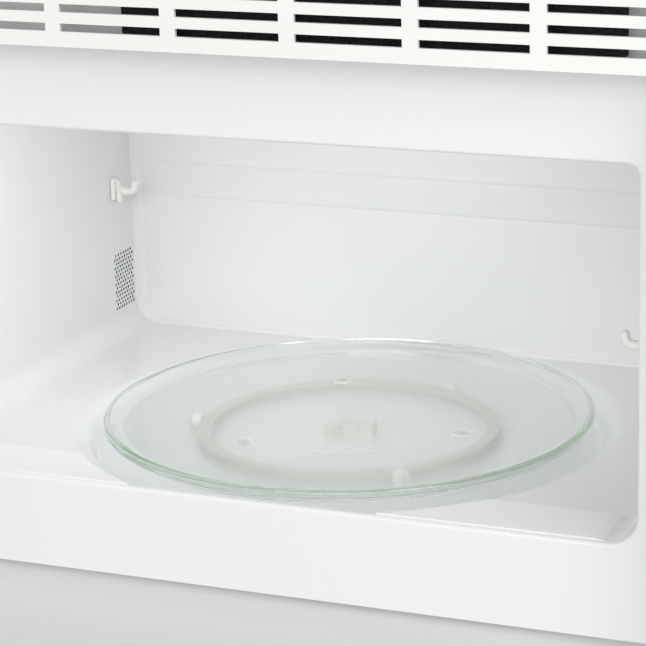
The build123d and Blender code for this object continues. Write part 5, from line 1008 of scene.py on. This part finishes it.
def segment(x, z, length, upright):
    """Sheet of one display segment: a flat bar with pointed ends, which leans to the right."""
    half = length / 2
    along = np.array([-half, -half + SEGMENT_TIP, half - SEGMENT_TIP, half])
    width = np.array([0.02, SEGMENT_TIP, SEGMENT_TIP, 0.02])
    edges = np.stack([width, -width], -1)
    along = along[:, None] + 0 * edges
    across, up = (edges, along) if upright else (along, edges)
    lean = SEGMENT_LEAN * (z + up - DISPLAY_Z)
    points = np.stack([x + across + lean, np.full(edges.shape, DISPLAY_Y), z + up], -1)
    return sheet_of(points)


def clock_digits():
    """Twelve o'clock in four seven-segment digits and two dots, drawn on the front of the lens."""
    sheets, reach = [], 2 * SEGMENT_HALF
    for place, digit in zip(DIGIT_PLACES, "1200"):
        for name in SEGMENTS[digit]:
            across, up, upright = SEGMENT_PLACES[name]
            x, z = DISPLAY_X + place + across * reach, DISPLAY_Z + up * reach
            sheets.append(segment(x, z, reach - SEGMENT_GAP, upright))
    for up in (-DOT_OFFSET, DOT_OFFSET):
        sheets.append(segment(DISPLAY_X + DOTS_PLACE, DISPLAY_Z + up, DOT_LENGTH, True))
    smooth_piece("clock_digits", "cabinet", lit_segment(), sheets, ())


touch_keys()
key_numbers()
clock_digits()

# ---------------------------------------------------------------- edges of the carried-over pieces

EDGE_WIDTHS = {
    "control_panel": 0.9,
    "door_frame": 0.9,
    "vent_grille": 0.7,
    "choke_cover": 0.6,
    "door_handle": 2.2,
    "lamp_cover": 0.7,
    "exhaust_adapter": 0.35,
    "display_lens": 0.5,
    "door_glass": 0.6,
    "cord_gland": 0.6,
    "roller_ring": 0.6,
    "drive_hub": 0.5,
}


def soften(node, width):
    """Rounds the sharp edges of a carried-over piece by width mm, as a mould or a press does."""
    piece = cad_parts[node]
    joined = piece.modifiers.new("joined", "WELD")
    joined.merge_threshold = 1e-6
    edge = piece.modifiers.new("rounded_edges", "BEVEL")
    edge.width, edge.segments = width * MM, 2
    edge.limit_method, edge.angle_limit = "ANGLE", math.radians(50)
    edge.harden_normals = True


for node, width in EDGE_WIDTHS.items():
    soften(node, width)

# ---------------------------------------------------------------- stage, lights and camera

FLOOR_REACH, FLOOR_GAP = 6.0, 0.0005  # metres, as for the lamps and the camera
FLOOR_CORNERS = ((-1, -1), (1, -1), (1, 1), (-1, 1))
WORLD_STRENGTH = 0.62
CAMERA_PLACE = (0.57886, -1.83212, 0.43759)
CAMERA_YAW, CAMERA_PITCH, CAMERA_ROLL = 22.926, 16.253, -1.619
FOCAL_PIXELS, PHOTO_WIDTH, SENSOR = 2654.19, 646, 36.0


def stage_floor():
    """Plain pale floor, clear from below; only the camera sees it, so the underside stays lit."""
    mesh = bpy.data.meshes.new("studio_floor")
    low = cad_box[0][2] - FLOOR_GAP
    corners = [(x * FLOOR_REACH, y * FLOOR_REACH, low) for x, y in FLOOR_CORNERS]
    mesh.from_pydata(corners, [], [(0, 1, 2, 3)])
    floor = bpy.data.objects.new("studio_floor", mesh)
    bpy.context.scene.collection.objects.link(floor)
    floor.visible_diffuse = floor.visible_glossy = False
    floor.visible_transmission = floor.visible_shadow = False
    material, shader, place = finish("matt_pale_floor", "DEDEDD", 0.9)
    clouding(material, shader, place, "DFDFDE", "DDDDDC", 900)
    side = add(material, "ShaderNodeNewGeometry").outputs["Backfacing"]
    clear = add(material, "ShaderNodeBsdfTransparent").outputs["BSDF"]
    surface = {0: side, 1: shader.outputs["BSDF"], 2: clear}
    surface = add(material, "ShaderNodeMixShader", surface)
    output = material.node_tree.nodes["Material Output"]
    plug(material, output.inputs["Surface"], surface.outputs["Shader"])
    mesh.materials.append(material)


def world_light():
    """Even pale light; the camera, mirrors and glass see it as a pale backdrop."""
    world = bpy.data.worlds.new("soft_studio")
    bpy.context.scene.world = world
    world.use_nodes = True
    light = world.node_tree.nodes["Background"]
    plug(world, light.inputs["Color"], "FFFFFF")
    plug(world, light.inputs["Strength"], WORLD_STRENGTH)
    seen = add(world, "ShaderNodeBackground", {"Color": "F0F0F0", "Strength": 1.0})
    rays = add(world, "ShaderNodeLightPath").outputs
    direct = {0: rays["Is Camera Ray"], 1: rays["Is Glossy Ray"]}
    direct = add(world, "ShaderNodeMath", direct, operation="MAXIMUM")
    direct = {0: direct.outputs[0], 1: rays["Is Transmission Ray"]}
    direct = add(world, "ShaderNodeMath", direct, operation="MAXIMUM")
    backdrop = {0: direct.outputs[0], 1: light.outputs[0], 2: seen.outputs[0]}
    backdrop = add(world, "ShaderNodeMixShader", backdrop)
    output = world.node_tree.nodes["World Output"]
    plug(world, output.inputs["Surface"], backdrop.outputs[0])


def softbox(name, place, target, size, watts, mirrored=True):
    """Rectangular lamp at place, turned to face target; gloss shows it where mirrored is true."""
    lamp = bpy.data.lights.new(name, "AREA")
    lamp.shape, lamp.energy = "RECTANGLE", watts
    lamp.size, lamp.size_y = size
    holder = bpy.data.objects.new(name, lamp)
    bpy.context.scene.collection.objects.link(holder)
    turned = (Vector(target) - Vector(place)).to_track_quat("-Z", "Y").to_matrix().to_4x4()
    holder.matrix_world = Matrix.Translation(place) @ turned
    holder.visible_camera, holder.visible_glossy = False, mirrored


def camera():
    """The photograph's viewpoint: yaw to the left, pitch down and a slight roll."""
    yaw, pitch, roll = (math.radians(value) for value in (CAMERA_YAW, CAMERA_PITCH, CAMERA_ROLL))
    level = Vector((math.cos(yaw), math.sin(yaw), 0))
    forward = Vector((-math.sin(yaw), math.cos(yaw), 0))
    ahead = math.cos(pitch) * forward - math.sin(pitch) * Vector((0, 0, 1))
    upward = level.cross(ahead)
    right = math.cos(roll) * level + math.sin(roll) * upward
    top = math.cos(roll) * upward - math.sin(roll) * level
    turned = Matrix((right, top, -ahead)).transposed().to_4x4()
    lens = bpy.data.cameras.new("photo_camera")
    lens.sensor_width = SENSOR
    lens.lens = FOCAL_PIXELS / PHOTO_WIDTH * SENSOR
    eye = bpy.data.objects.new("photo_camera", lens)
    bpy.context.scene.collection.objects.link(eye)
    eye.matrix_world = Matrix.Translation(CAMERA_PLACE) @ turned
    bpy.context.scene.camera = eye


stage_floor()
world_light()
softbox("front_softbox", (0.15, -3.3, 1.0), (-0.15, -0.2, -0.05), size=(2.0, 1.4), watts=31)
softbox("right_softbox", (1.9, -1.6, 1.1), (0.0, -0.3, 0.0), size=(1.2, 1.2), watts=21)
softbox(
    "cavity_glow",
    (-0.14, -0.24, 0.095),
    (-0.19, -0.08, -0.09),
    size=(0.3, 0.12),
    watts=0.48,
    mirrored=False,
)
camera()
bpy.context.scene.view_settings.view_transform = "Standard"
